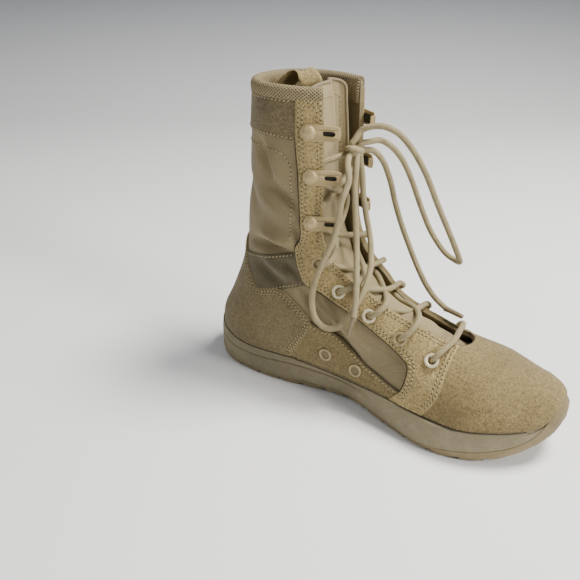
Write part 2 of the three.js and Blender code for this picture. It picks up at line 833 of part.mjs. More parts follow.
const overEyelet = eyeletTop + 3.4 * clearance + laceRadius;
const overEdge = panelTop + 11 * clearance + laceRadius;
const edgeRoom = laceRadius + 0.9;
const overTongue = laceRadius + 14 * clearance;
const eyeletPoint = (row, direction) => {
  const [place, turn] = eyeletRows[row];
  return onLast(place, direction * turn, overEyelet);
};
const edgePoint = (place, direction) =>
  onLast(place, frontTurn(place, direction * throatHalf(place)), overEdge);
function tonguePlace(place, share, over = overTongue) {
  const reach = throatHalf(place) + tongueOverlap;
  const point = tonguePoint(place, (share * throatHalf(place)) / reach, 0);
  return point.addScaledVector(sectionRun(place), over);
}
const lowTonguePlace = (place, share) => tonguePlace(place, share, overTongue - 10 * clearance);
const farShare = (place) => 1 - edgeRoom / throatHalf(place);

// From an eyelet over its edge to under the far edge at the next one up.
function strandFromEyelet(row, direction, nextPlace) {
  const place = eyeletRows[row][0];
  const climb = nextPlace - place;
  return laceTube(
    [
      eyeletPoint(row, direction),
      edgePoint(place + 0.12 * climb, direction),
      tonguePlace(place + 0.5 * climb, 0),
      tonguePlace(place + 0.82 * climb, -direction * farShare(nextPlace)),
    ],
    7,
  );
}
function strandInThroat(place, nextPlace, direction) {
  return laceTube(
    [
      lowTonguePlace(place, direction * farShare(place)),
      lowTonguePlace((place + nextPlace) / 2, 0),
      lowTonguePlace(nextPlace, -direction * farShare(nextPlace)),
    ],
    4,
  );
}
const lastEyelet = eyeletRows.length - 1;
const laceBar = laceTube(
  [
    eyeletPoint(lastEyelet, -1),
    edgePoint(eyeletRows[lastEyelet][0], -1),
    edgePoint(eyeletRows[lastEyelet][0], 1),
    eyeletPoint(lastEyelet, 1),
  ],
  5,
);
const crossings = [];
for (let row = lastEyelet - 1; row >= 0; row -= 1) {
  const nextPlace = row > 0 ? eyeletRows[row - 1][0] : hookRows[2][0];
  crossings.push(
    strandFromEyelet(row, -1, nextPlace).add(strandFromEyelet(row, 1, nextPlace)),
  );
}
const hookClimb = [hookRows[2][0] - 0.15, hookRows[1][0] + 0.15];
crossings.push(
  strandInThroat(...hookClimb, -1).add(strandInThroat(...hookClimb, 1)),
);

// Knot, bow and ends, as they hang in front of the throat.
const routePoints = (rows) => rows.map(([x, y, z]) => new THREE.Vector3(x, y, z));
const knotCentre = [122, 0, 199];
const knotRadii = [4.8, 7.2, 5];
const knotShape = new THREE.SphereGeometry(1, 10, 7);
knotShape.scale(...knotRadii);
knotShape.translate(...knotCentre);
const behindKnot = new THREE.Vector3(
  knotCentre[0] - knotRadii[0] - laceRadius,
  knotCentre[1],
  knotCentre[2] - 2,
);
const topPlace = hookRows[1][0] - 0.15;
const topEnd = (direction) =>
  tonguePlace(topPlace, direction * farShare(topPlace), laceRadius);
const laceToKnot = laceTube([topEnd(-1), behindKnot, topEnd(1)], 6);
const cords = {
  loop_outer: [
    [121.3, 0.3, 205.5],
    [124, 5, 212],
    [129, 7, 215],
    [138, 11, 216],
    [147, 16, 212],
    [156, 21, 202],
    [167, 26, 184],
    [178, 32, 158],
    [188, 37, 136],
    [194, 42, 120],
    [195, 48, 111],
    [189, 55, 108],
    [179, 58, 111],
    [166, 56, 127],
    [157, 52, 147],
    [149, 46, 170],
    [143, 38, 187],
    [138, 28, 198],
    [133, 18, 204],
    [128, 8, 204],
  ],
  loop_inner: [
    [122.3, -8.2, 196.8],
    [127.1, -18.5, 193.5],
    [132.6, -26, 184.8],
    [131.3, -32.6, 172.5],
    [128.5, -31.5, 156],
    [126.5, -35.4, 140.2],
    [121.5, -41.3, 123.4],
    [117.5, -44.2, 106.5],
    [115.9, -43.5, 91],
    [119.9, -44.5, 80],
    [127.8, -43.5, 74],
    [136.8, -41.5, 76],
    [143.8, -39.5, 85],
    [148.8, -35.6, 96],
    [151, -28, 107],
    [149, -16, 119],
    [143, -5, 128],
    [138, 1, 138],
    [134, 3, 148],
    [130, 3, 166],
    [128, 3, 182],
    [126, 3, 191],
  ],
  end_inner: [
    [126.2, -3.8, 195.6],
    [129, -9, 187],
    [130, -12, 178],
    [132, -14, 167],
    [136, -17, 144],
    [143, -27, 122],
    [149, -37, 104],
    [151, -43, 90],
  ],
  end_outer: [
    [126.6, 6.9, 198.6],
    [131, 13, 197],
    [135.5, 20, 189],
    [140, 27, 172],
    [143.5, 31, 155],
    [149, 33.5, 138],
    [156.5, 35, 121],
    [165.5, 34.5, 105],
    [176, 30, 93.5],
    [186, 27, 85.5],
    [196.2, 25.5, 79.8],
  ],
};
const agletRows = {
  aglet_inner: [
    [151.2, -43.8, 88.4],
    [148, -43.5, 73],
  ],
  aglet_outer: [
    [197.2, 25.3, 79.6],
    [211, 23, 78.2],
  ],
};
const agletRadius = 1.9;
function agletSolid([from, to]) {
  const start = new THREE.Vector3(...from);
  const run = new THREE.Vector3(...to).sub(start);
  const rod = new THREE.CylinderGeometry(agletRadius * 0.8, agletRadius, run.length(), 8);
  rod.translate(0, run.length() / 2, 0);
  const turn = new THREE.Quaternion().setFromUnitVectors(
    new THREE.Vector3(0, 1, 0),
    run.clone().normalize(),
  );
  rod.applyQuaternion(turn);
  rod.translate(...from);
  return solidFrom(rod);
}
const cordStep = 2.6 * laceDiameter;
function cordSolid(rows) {
  const points = routePoints(rows);
  const reach = points.reduce(
    (sum, point, row) => sum + (row ? point.distanceTo(points[row - 1]) : 0),
    0,
  );
  return laceTube(points, Math.max(3, Math.round(reach / cordStep)));
}

const boot = new THREE.Group();
function place(name, solid, colour, roughness) {
  const material = new THREE.MeshStandardMaterial({ color: colour, roughness, metalness: 0 });
  const mesh = new THREE.Mesh(geometryFrom(solid), material);
  mesh.name = name;
  boot.add(mesh);
}
const suede = 0xa08a5c;
const nylon = 0x97876a;
place("outsole", outsole, 0x7d6a4c, 0.8);
place("midsole", midsole, 0x8c8068, 0.75);
place("insole", insole, 0x5b5345, 0.95);
place("upper", upper, nylon, 0.9);
place("heel_counter", counter, suede, 0.95);
place("vamp", vamp, suede, 0.95);
place("collar_band", collarBand, nylon, 0.9);
place("collar_cuff", cuff, 0x6f6551, 0.95);
place("tongue", tongue, nylon, 0.9);
for (const panel of sidePanels) {
  place(`eyestay_${panel.side}`, panel.eyestay, suede, 0.95);
  place(`ankle_band_${panel.side}`, panel.ankle, 0x6f6650, 0.9);
  place(`quarter_strip_${panel.side}`, panel.quarter, suede, 0.95);
}
const metal = 0xb89f76;
place("pull_loop", pullLoopSolid(), 0xb39a74, 0.95);
for (const [side, direction] of sides) {
  eyeletRows.forEach(([along, turn], row) => {
    const ring = seated(eyelet, seatOn(along, direction * turn));
    place(`eyelet_${side}_${row + 1}`, ring, 0xcfc3a6, 0.4);
  });
  hookRows.forEach(([along, turn], row) => {
    place(`hook_${side}_${row + 1}`, hookAt(seatOn(along, direction * turn)), metal, 0.45);
  });
}
ventRows.forEach(([along, turn], row) => {
  place(`vent_${row + 1}`, seated(ventEyelet, seatOn(along, -turn)), metal, 0.5);
});
const laceColour = 0xa09270;
place("lace_bar", laceBar, laceColour, 0.85);
crossings.forEach((crossing, row) => {
  place(`lace_cross_${row + 1}`, crossing, laceColour, 0.85);
});
place("lace_top", laceToKnot, laceColour, 0.85);
place("knot", solidFrom(knotShape), laceColour, 0.85);
for (const [name, rows] of Object.entries(cords)) {
  place(name, cordSolid(rows), laceColour, 0.85);
}
for (const [name, rows] of Object.entries(agletRows)) {
  place(name, agletSolid(rows), laceColour, 0.3);
}

// The origin is under the middle of the sole.
const footprint = new THREE.Box3();
for (const name of ["outsole", "midsole"]) {
  footprint.expandByObject(boot.getObjectByName(name), true);
}
const middle = footprint.getCenter(new THREE.Vector3());
boot.position.set(-middle.x, -middle.y, -footprint.min.z);

export default boot;
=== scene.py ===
# Looks for a left combat boot: suede overlays on woven nylon, mesh cuff, lugged sole, tied laces.
import math
import bmesh
import bpy
import numpy as np
from mathutils import Matrix, Vector


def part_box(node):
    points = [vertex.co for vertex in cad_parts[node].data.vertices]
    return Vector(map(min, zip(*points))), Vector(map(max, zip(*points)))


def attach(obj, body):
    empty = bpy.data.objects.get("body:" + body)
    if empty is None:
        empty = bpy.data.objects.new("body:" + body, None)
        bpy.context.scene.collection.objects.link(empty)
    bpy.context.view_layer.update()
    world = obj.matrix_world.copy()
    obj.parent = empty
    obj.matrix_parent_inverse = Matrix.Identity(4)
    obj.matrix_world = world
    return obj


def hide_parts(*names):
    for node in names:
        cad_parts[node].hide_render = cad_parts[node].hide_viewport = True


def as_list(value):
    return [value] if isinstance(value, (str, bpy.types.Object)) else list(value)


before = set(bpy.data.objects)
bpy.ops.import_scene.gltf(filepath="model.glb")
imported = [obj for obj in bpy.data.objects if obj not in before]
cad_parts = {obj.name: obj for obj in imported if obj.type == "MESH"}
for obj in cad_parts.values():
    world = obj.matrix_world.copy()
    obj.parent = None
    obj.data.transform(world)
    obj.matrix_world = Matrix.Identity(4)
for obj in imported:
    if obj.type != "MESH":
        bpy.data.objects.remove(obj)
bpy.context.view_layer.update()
print("frame loaded")

# Lengths here are millimetres from the back of the heel, toe towards +X, outer side towards +Y.
boot = {
    "soleLength": 299.0,
    "ballWidth": 111.0,
    "heelWidth": 73.0,
    "shaftWidth": 78.0,
    "shaftHeight": 242.0,
    "instepHeight": 118.0,
    "heelThickness": 31.0,
    "foreThickness": 26.0,
    "wall": 2.2,
    "panel": 1.8,
    "lace": 4.5,
}
innerReach = -47.25  # where the sole's inner side lies in these lengths
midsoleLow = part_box("midsole")[0]
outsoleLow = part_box("outsole")[0]
shift = np.array([midsoleLow[0] * 1000, outsoleLow[1] * 1000 - innerReach, 0.0])


def toScene(points):
    return (np.asarray(points, dtype=float) + shift) / 1000.0


def newObject(name, data):
    obj = bpy.data.objects.new(name, data)
    bpy.context.collection.objects.link(obj)
    return obj


def smoothAll(mesh):
    mesh.polygons.foreach_set("use_smooth", [True] * len(mesh.polygons))


# Shader nodes
shaderInputs = {
    "roughness": "Roughness",
    "specular": "Specular IOR Level",
    "metallic": "Metallic",
    "sheen": "Sheen Weight",
    "sheenRoughness": "Sheen Roughness",
    "sheenTint": "Sheen Tint",
}


def newMaterial(name):
    material = bpy.data.materials.new(name)
    material.use_nodes = True
    return material, material.node_tree


def add(tree, kind, **values):
    node = tree.nodes.new(kind)
    for key, value in values.items():
        if hasattr(node, key):
            setattr(node, key, value)
        else:
            node.inputs[key].default_value = value
    return node


def noiseOf(tree, vector, scale, detail=4.0, roughness=0.55):
    node = add(tree, "ShaderNodeTexNoise", Scale=scale, Detail=detail, Roughness=roughness)
    tree.links.new(vector, node.inputs["Vector"])
    return node.outputs["Fac"]


def ramp(tree, source, stops):
    node = add(tree, "ShaderNodeValToRGB")
    for element, (spot, colour) in zip(node.color_ramp.elements, (stops[0], stops[-1])):
        element.position = spot
        element.color = (*colour, 1)
    for spot, colour in stops[1:-1]:
        node.color_ramp.elements.new(spot).color = (*colour, 1)
    tree.links.new(source, node.inputs["Fac"])
    return node.outputs["Color"]


def feed(tree, socket, value):
    # Gives a socket a number, a name, a colour or a link.
    if isinstance(value, (int, float, str)):
        socket.default_value = value
    elif isinstance(value, tuple):
        socket.default_value = (*value, 1)
    else:
        tree.links.new(value, socket)


def mathOf(tree, operation, *values, clamp=False):
    node = add(tree, "ShaderNodeMath", operation=operation)
    node.use_clamp = clamp
    for socket, value in zip(node.inputs, values):
        feed(tree, socket, value)
    return node.outputs[0]


def mixColour(tree, share, a, b, blend="MIX"):
    node = add(tree, "ShaderNodeMix", data_type="RGBA", blend_type=blend)
    for number, value in ((0, share), (6, a), (7, b)):
        feed(tree, node.inputs[number], value)
    return node.outputs[2]


def splitOf(tree, vector):
    node = add(tree, "ShaderNodeSeparateXYZ")
    tree.links.new(vector, node.inputs[0])
    return node.outputs


def mottled(tree, base, share, space, scale, detail, low, high):
    # A colour multiplied by soft grey clouds.
    clouds = ramp(tree, noiseOf(tree, space, scale, detail), [(0.3, grey(low)), (0.7, grey(high))])
    return mixColour(tree, share, base, clouds, "MULTIPLY")


def finishShader(tree, base, bump=None, **values):
    # Links the colour, sets the other inputs and adds a bump: its height, depth and strength.
    shader = tree.nodes["Principled BSDF"]
    tree.links.new(base, shader.inputs["Base Color"])
    for key, value in values.items():
        shader.inputs[shaderInputs[key]].default_value = value
    if bump:
        height, depth, strength = bump
        node = add(tree, "ShaderNodeBump", Strength=strength, Distance=depth)
        tree.links.new(height, node.inputs["Height"])
        tree.links.new(node.outputs[0], shader.inputs["Normal"])


def grey(value):
    return (value, value, value)


def shade(colour, factor):
    return tuple(channel * factor for channel in colour)


def objectSpace(tree):
    return add(tree, "ShaderNodeTexCoord").outputs["Object"]


def clothSpace(tree):
    node = add(tree, "ShaderNodeUVMap")
    node.uv_map = "cloth"
    return node.outputs[0]


# Camera, floor and light
camera = {"place": (326.2, -391.6, 317.9), "turn": 33.49, "tilt": 27.91, "roll": 0.22, "lens": 38.36}


def makeCamera():
    data = bpy.data.cameras.new("camera")
    data.lens = camera["lens"]
    data.sensor_width = 36.0
    obj = newObject("camera", data)
    turn, tilt, roll = (math.radians(camera[k]) for k in ("turn", "tilt", "roll"))
    back = Vector((math.sin(turn) * math.cos(tilt), -math.cos(turn) * math.cos(tilt), math.sin(tilt)))
    right = Vector((math.cos(turn), math.sin(turn), 0.0))
    up = back.cross(right)
    right, up = (
        right * math.cos(roll) + up * math.sin(roll),
        up * math.cos(roll) - right * math.sin(roll),
    )
    matrix = Matrix((right, up, back)).transposed().to_4x4()
    matrix.translation = Vector(toScene(camera["place"]))
    obj.matrix_world = matrix
    bpy.context.scene.camera = obj


def makeLight(name, place, size, power, tint):
    data = bpy.data.lights.new(name, "AREA")
    data.shape = "DISK"
    data.size = size
    data.energy = power
    data.color = tint
    obj = newObject(name, data)
    obj.location = place
    aim = Vector((0.0, 0.0, 0.1)) - Vector(place)
    obj.rotation_euler = aim.to_track_quat("-Z", "Y").to_euler()


# The sheet of paper, in metres
paper = {"near": -4.0, "far": 1.0, "bend": 1.2, "top": 5.0, "half": 5.0}
# Name, place, size, power and tint of each lamp, in metres and watts
lamps = [
    ("overhead", (0.4, 0.3, 1.3), 0.5, 33.0, (1.0, 0.98, 0.94)),
    ("front", (1.3, -0.1, 0.75), 0.35, 15.0, (1.0, 0.99, 0.96)),
    ("side", (-0.9, -0.9, 0.9), 0.35, 3.0, (0.99, 0.99, 1.0)),
]


def makeStage():
    # A sheet of pale paper that lies flat under the boot and curves up behind it.
    turn = math.radians(camera["turn"])
    away = Vector((-math.sin(turn), math.cos(turn), 0))
    aside = Vector((math.cos(turn), math.sin(turn), 0))
    far, bend, half = paper["far"], paper["bend"], paper["half"]
    section = [(paper["near"], 0.0), (far, 0.0)]
    section += [(far + bend * math.sin(a), bend - bend * math.cos(a)) for a in np.linspace(0.1, 1.5, 15)]
    section.append((far + bend + 0.1, paper["top"]))
    verts = [
        away * run + aside * side + Vector((0, 0, high)) for run, high in section for side in (-half, half)
    ]
    faces = [(2 * k, 2 * k + 1, 2 * k + 3, 2 * k + 2) for k in range(len(section) - 1)]
    mesh = bpy.data.meshes.new("floor")
    mesh.from_pydata(verts, [], faces)
    smoothAll(mesh)
    floor = newObject("floor", mesh)
    material, tree = newMaterial("palePaper")
    height = splitOf(tree, objectSpace(tree))[2]
    # Painted shade: the paper turns darker and bluer as it rises behind the boot, where less light reaches
    # it.
    paintedFalloff = ramp(tree, height, [(0.004, (0.93, 0.93, 0.92)), (0.3, (0.24, 0.26, 0.3))])
    finishShader(tree, paintedFalloff, roughness=0.85, specular=0.2)
    mesh.materials.append(material)
    world = bpy.data.worlds.new("softRoom")
    bpy.context.scene.world = world
    world.use_nodes = True
    background = world.node_tree.nodes["Background"]
    background.inputs[0].default_value = (0.93, 0.95, 1.0, 1)
    background.inputs[1].default_value = 0.3
    for lamp in lamps:
        makeLight(*lamp)


makeCamera()
makeStage()


# The last: slices that fan from level ones in the shaft to upright ones in the forefoot.
# Columns: x of the back end, its height share, x of the front end, its height share, centre,
# inner half, outer half (shares of ball width), share of the shaft's width, widest place,
# fullness at the back, the inner front and the outer front.
sections = np.array([
    [0.146, 2.01, 0.428, 1.98, 0, 0, 0, 0.475, 0.42, 2.1, 2.1, 2.1],
    [0.128, 1.58, 0.424, 1.56, 0, 0, 0, 0.475, 0.48, 2.1, 2.1, 2.1],
    [0.112, 1.22, 0.424, 1.22, 0, 0, 0, 0.46, 0.55, 2.1, 2.2, 2.1],
    [0.1, 0.87, 0.452, 1.03, 0, 0, 0, 0.465, 0.52, 2.1, 2.2, 2.1],
    [0.06, 0.58, 0.5, 0.95, 0, 0.02, 0.02, 0.455, 0.44, 2.2, 2.3, 2],
    [0.023, 0.34, 0.545, 0.89, 0, 0.06, 0.06, 0.42, 0.42, 2.4, 2.4, 1.9],
    [0.035, 0, 0.588, 0.82, 0.01, 0.1, 0.1, 0.37, 0.4, 2.4, 2.5, 1.8],
    [0.152, -0.12, 0.628, 0.765, 0.02, 0.15, 0.15, 0.29, 0.4, 2.4, 2.6, 1.75],
    [0.304, -0.136, 0.669, 0.71, 0.035, 0.22, 0.22, 0.19, 0.4, 2.5, 2.6, 1.7],
    [0.473, -0.1, 0.716, 0.64, 0.045, 0.33, 0.33, 0.07, 0.4, 2.6, 2.6, 1.7],
    [0.625, -0.07, 0.77, 0.58, 0.06, 0.43, 0.42, 0, 0.4, 2.6, 2.5, 1.8],
    [0.76, -0.03, 0.824, 0.53, 0.07, 0.46, 0.45, 0, 0.4, 2.6, 2.3, 1.9],
    [0.851, 0, 0.876, 0.495, 0.075, 0.41, 0.4, 0, 0.42, 2.6, 2.2, 2],
    [0.928, 0.06, 0.93, 0.455, 0.08, 0.31, 0.31, 0, 0.45, 2.4, 2.2, 2.1],
    [0.976, 0.15, 0.972, 0.415, 0.075, 0.19, 0.2, 0, 0.48, 2.2, 2.1, 2.1],
    [0.995, 0.28, 0.993, 0.35, 0.07, 0.06, 0.06, 0, 0.5, 2, 2, 2],
])
lastPlace = len(sections) - 1


def level(share):
    share = np.asarray(share, dtype=float)
    high = boot["instepHeight"] + (share - 1) * (boot["shaftHeight"] - boot["instepHeight"])
    return np.where(share <= 1, share * boot["instepHeight"], high)


def bent(start, end, slopeIn, slopeOut, t):
    # A smooth step from start to end, straight past both ends.
    curve = (
        start * (1 + 2 * t) * (1 - t) ** 2
        + slopeIn * t * (1 - t) ** 2
        + end * t * t * (3 - 2 * t)
        + slopeOut * t * t * (t - 1)
    )
    return np.where((t < 0) | (t > 1), start + (end - start) * t, curve)


def through(values, place):
    # Smooth curve through evenly numbered values.
    values = np.asarray(values, dtype=float)
    place = np.asarray(place, dtype=float)
    last = len(values) - 1
    low = np.clip(np.floor(place).astype(int), 0, last - 1)
    t = place - low
    before = values[np.maximum(low - 1, 0)]
    start = values[low]
    end = values[low + 1]
    after = values[np.minimum(low + 2, last)]
    slopeIn = np.where(low > 0, (end - before) / 2, end - start)
    slopeOut = np.where(low + 2 <= last, (after - start) / 2, end - start)
    return bent(start, end, slopeIn, slopeOut, t)


def along(rows, column, place):
    # Smooth curve through rows that lie at their own places.
    rows = np.asarray(rows, dtype=float)
    place = np.asarray(place, dtype=float)
    spots = rows[:, 0]
    values = rows[:, column]
    last = len(rows) - 1
    low = np.clip(np.searchsorted(spots, place, side="left") - 1, 0, last - 1)
    span = spots[low + 1] - spots[low]
    t = (place - spots[low]) / span
    after = np.minimum(np.arange(last + 1) + 1, last)
    before = np.maximum(np.arange(last + 1) - 1, 0)
    slopes = (values[after] - values[before]) / (spots[after] - spots[before])
    return bent(values[low], values[low + 1], slopes[low] * span, slopes[low + 1] * span, t)


def lastPoint(place, turn):
    place, turn = np.broadcast_arrays(np.asarray(place, dtype=float), np.asarray(turn, dtype=float))
    turn = np.arctan2(np.sin(turn), np.cos(turn))
    column = [through(sections[:, k], place) for k in range(sections.shape[1])]
    length = boot["soleLength"]
    width = boot["ballWidth"]
    inner = turn < 0
    half = np.where(inner, column[5], column[6]) * width + column[7] * boot["shaftWidth"]
    around = np.abs(turn)
    rear = around < math.pi / 2
    fullness = np.where(rear, column[9], np.where(inner, column[10], column[11]))
    run = np.abs(np.cos(around)) ** (2 / fullness)
    across = np.abs(np.sin(around)) ** (2 / fullness)
    widest = column[8]
    depth = np.where(rear, widest * (1 - run), widest + (1 - widest) * run)
    backX = column[0] * length
    backZ = level(column[1])
    x = backX + (column[2] * length - backX) * depth
    z = backZ + (level(column[3]) - backZ) * depth
    y = column[4] * width + half * across * np.sign(turn)
    return np.stack([x, y, z], axis=-1)


def lengthsAlong(points, axis=0):
    steps = np.linalg.norm(np.diff(points, axis=axis), axis=-1)
    start = np.zeros_like(np.take(steps, [0], axis=axis))
    return np.cumsum(np.concatenate([start, steps], axis=axis), axis=axis)


def unit(vectors):
    return vectors / np.maximum(np.linalg.norm(vectors, axis=-1, keepdims=True), 1e-9)


def lastNormal(place, turn):
    step = 0.03
    down = lastPoint(place + step, turn) - lastPoint(place - step, turn)
    sideways = lastPoint(place, turn + step) - lastPoint(place, turn - step)
    return unit(np.cross(sideways, down))


# Folds and hollows in the cloth and suede: side (-1 inner, 1 outer), line of (x, z),
# width and depth; a negative depth is a ridge.
foldStrength = 2.3
folds = [
    (-1, [(60, 207), (66, 197), (71, 188), (78, 178)], 4.5, 2.6),
    (-1, [(70, 200), (77, 191), (84, 182), (92, 174)], 7.0, -1.8),
    (-1, [(72, 176), (81, 171), (88, 167), (96, 160)], 5.0, 2.0),
    (-1, [(58, 168), (70, 162), (82, 155), (93, 146)], 8.0, -1.6),
    (-1, [(42, 176), (47, 166), (54, 156), (62, 148)], 6.0, 1.2),
    (-1, [(60, 134), (75, 133), (86, 131), (95, 130)], 5.5, -2.6),
    (-1, [(44, 122), (64, 124.5), (78, 125), (97, 125)], 4.0, 2.8),
    (-1, [(95.5, 146), (96, 140), (99, 131)], 3.0, 1.4),
    (-1, [(66, 114), (77, 110), (87, 107), (97, 106)], 5.0, -1.3),
    (-1, [(57, 109), (69, 103), (79, 98), (90, 94)], 5.0, 1.6),
    (-1, [(84, 116), (93, 110), (101, 103)], 4.0, 1.3),
    (-1, [(100, 99), (107, 90), (114, 81), (123, 71)], 4.0, 2.2),
    (-1, [(112, 96), (122, 87), (133, 78), (147, 67), (161, 56)], 5.0, -1.6),
    (-1, [(118, 84), (130, 72), (143, 60), (156, 49)], 4.0, 1.8),
    (-1, [(202, 66), (210, 61), (217, 58)], 7.0, 1.2),
    (-1, [(40, 68), (52, 62), (61, 57)], 12.0, 0.8),
    (0, [(252, 60), (266, 54), (279, 47)], 9.0, 0.9),
    (1, [(56, 205), (66, 192), (78, 181), (92, 172)], 5.0, 2.2),
    (1, [(60, 184), (74, 172), (90, 160)], 8.0, -1.6),
    (1, [(44, 123), (64, 125), (80, 126), (98, 128)], 4.5, 2.4),
    (1, [(58, 136), (76, 134), (94, 133)], 6.0, -2.0),
    (1, [(58, 108), (72, 102), (90, 95)], 5.0, 1.4),
    (1, [(112, 90), (128, 76), (146, 62)], 5.0, 1.6),
    (1, [(204, 64), (214, 57), (224, 48)], 8.0, 1.3),
    (0, [(30, 190), (31, 170), (33, 150)], 10.0, 0.8),
]


def foldHeight(points):
    height = np.zeros(points.shape[:-1])
    x = points[..., 0]
    z = points[..., 2]
    y = points[..., 1]
    for side, line, width, depth in folds:
        near = np.full(height.shape, 1e9)
        where = np.zeros(height.shape)
        count = len(line) - 1
        for k, ((ax, az), (bx, bz)) in enumerate(zip(line, line[1:])):
            ux, uz = bx - ax, bz - az
            size = ux * ux + uz * uz
            t = np.clip(((x - ax) * ux + (z - az) * uz) / size, 0, 1)
            gap = np.hypot(x - ax - ux * t, z - az - uz * t)
            closer = gap < near
            near = np.where(closer, gap, near)
            where = np.where(closer, (k + t) / count, where)
        fade = np.sin(np.pi * np.clip(where, 0.02, 0.98)) ** 0.6
        sideOn = np.clip(side * y / 6 + 0.2, 0, 1) if side else 1.0
        height -= foldStrength * depth * fade * sideOn * hump(near, 0, width)
    return height


def onBoot(place, turn, height):
    # Points a height over the folded form, and the directions outwards.
    base = lastPoint(place, turn)
    normal = lastNormal(place, turn)
    total = np.asarray(height, dtype=float) + foldHeight(base)
    return base + normal * total[..., None], normal


# Throat, collar and side outlines
throatRows = [0.256, 0.243, 0.248, 0.226, 0.203, 0.194, 0.185, 0.176, 0.167, 0.15, 0.1]
throatEnd = 9.75
sectionPitch = 17.0  # millimetres between sections at the throat's lower end
throatCorner = 11.0


def throatHalf(place):
    return through(throatRows, place) * boot["ballWidth"]


def throatGap(place, points, normals):
    # Distance outside the throat's edge, and outside its lower end.
    centre = through(sections[:, 4], place) * boot["ballWidth"]
    side = np.abs(points[..., 1] - centre) - throatHalf(place)
    side = side / np.sqrt(np.maximum(1 - normals[..., 1] ** 2, 0.15))
    a = side + throatCorner
    b = (place - throatEnd) * sectionPitch + throatCorner
    return np.minimum(np.maximum(a, b), 0) + np.hypot(np.maximum(a, 0), np.maximum(b, 0)) - throatCorner


def collarLevel(x):
    return level(2.0) + 0.02 * boot["shaftHeight"] * (0.5 - x / boot["soleLength"])


longestSide = 11.0
cornerRounds = 3


def roundedOutline(rows):
    # A closed outline from shares, with its corners rounded off.
    points = [(x * boot["soleLength"], float(level(z))) for x, z in rows]
    dense = []
    for k, start in enumerate(points):
        end = points[(k + 1) % len(points)]
        parts = max(1, round(math.dist(start, end) / longestSide))
        dense.extend(
            [a + (b - a) * (part / parts) for a, b in zip(start, end)]
            for part in range(parts)
        )
    outline = np.array(dense)
    for _ in range(cornerRounds):
        nextOnes = np.roll(outline, -1, axis=0)
        outline = np.stack([outline * 0.75 + nextOnes * 0.25, outline * 0.25 + nextOnes * 0.75], axis=1)
        outline = outline.reshape(-1, 2)
    return outline


def outlineGap(outline, points, normals):
    # Distance inside a side outline, along the surface.
    x = points[..., 0].ravel()
    z = points[..., 2].ravel()
    best = np.full(x.shape, 1e18)
    lineX = np.zeros(x.shape)
    lineZ = np.zeros(x.shape)
    inside = np.zeros(x.shape, dtype=bool)
    for start, end in zip(outline, np.roll(outline, -1, axis=0)):
        ux, uz = end - start
        size = max(ux * ux + uz * uz, 1e-9)
        t = np.clip(((x - start[0]) * ux + (z - start[1]) * uz) / size, 0, 1)
        gx = x - start[0] - ux * t
        gz = z - start[1] - uz * t
        gap = gx * gx + gz * gz
        closer = gap < best
        best = np.where(closer, gap, best)
        lineX = np.where(closer, gx, lineX)
        lineZ = np.where(closer, gz, lineZ)
        crossing = (start[1] > z) != (end[1] > z)
        spot = start[0] + ux * (z - start[1]) / (uz if abs(uz) > 1e-9 else 1e-9)
        inside ^= crossing & (x < spot)
    gap = np.sqrt(best)
    reach = np.maximum(gap, 1e-6)
    slant = (lineX * normals[..., 0].ravel() + lineZ * normals[..., 2].ravel()) / reach
    gap = gap / np.sqrt(np.maximum(1 - slant ** 2, 0.2))
    return np.where(inside, gap, -gap).reshape(points.shape[:-1])


# Sole heights
# Columns: share of the length, tread, top of the foam, top of the rubber (shares of the thickness), groove.
soleRows = [
    [0, 0.1, 1.13, 0.14, 1],
    [0.04, 0, 1.06, 0.14, 1],
    [0.14, 0, 0.93, 0.14, 1],
    [0.3, 0.02, 1.03, 0.15, 1],
    [0.38, 0.1, 1.06, 0.23, 1],
    [0.48, 0.1, 1.03, 0.23, 0.8],
    [0.58, 0.03, 1.03, 0.18, 0],
    [0.7, 0, 1.0, 0.15, 0],
    [0.78, 0.02, 1.02, 0.3, 0],
    [0.86, 0.12, 1.12, 0.48, 0],
    [0.92, 0.3, 1.2, 0.72, 0],
    [0.96, 0.5, 1.33, 1.1, 0],
    [0.985, 0.72, 1.68, 1.75, 0],
    [1, 0.95, 1.85, 2.0, 0],
]


def smoothStep(x, low, high):
    t = np.clip((x - low) / (high - low), 0, 1)
    return t * t * (3 - 2 * t)


def hump(x, middle, width):
    return np.exp(-(((x - middle) / width) ** 2))


def soleHeight(column, x):
    share = np.asarray(x, dtype=float) / boot["soleLength"]
    thinner = (boot["foreThickness"] - boot["heelThickness"]) * smoothStep(share, 0.2, 0.65)
    return along(soleRows, column, share) * (boot["heelThickness"] + thinner)


def treadLevel(x):
    return np.maximum(0, soleHeight(1, x) - 0.4)


def topLine(x):
    return soleHeight(2, x)


# Meshes
def meshFrom(name, points, faces, uv=None, edge=None, sharp=None):
    mesh = bpy.data.meshes.new(name)
    mesh.from_pydata(toScene(points).tolist(), [], [tuple(face) for face in faces])
    smoothAll(mesh)
    if uv is not None:
        layer = mesh.uv_layers.new(name="cloth")
        loops = np.zeros(len(mesh.loops), dtype=np.int32)
        mesh.loops.foreach_get("vertex_index", loops)
        layer.data.foreach_set("uv", np.asarray(uv, dtype=np.float32)[loops].ravel())
    if edge is not None:
        layer = mesh.attributes.new("edge", "FLOAT", "POINT")
        layer.data.foreach_set("value", np.asarray(edge, dtype=np.float32).ravel())
    if sharp:
        mesh.set_sharp_from_angle(angle=math.radians(sharp))
    mesh.update()
    return mesh


def wear(mesh, material):
    mesh.materials.clear()
    mesh.materials.append(material)


def enter(obj, nodes=()):
    # Every piece rides on the boot's one body.
    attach(obj, "root")
    if nodes:
        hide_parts(*nodes)
    return obj


def addPiece(name, mesh, material, nodes=()):
    wear(mesh, material)
    return enter(newObject(name, mesh), nodes)


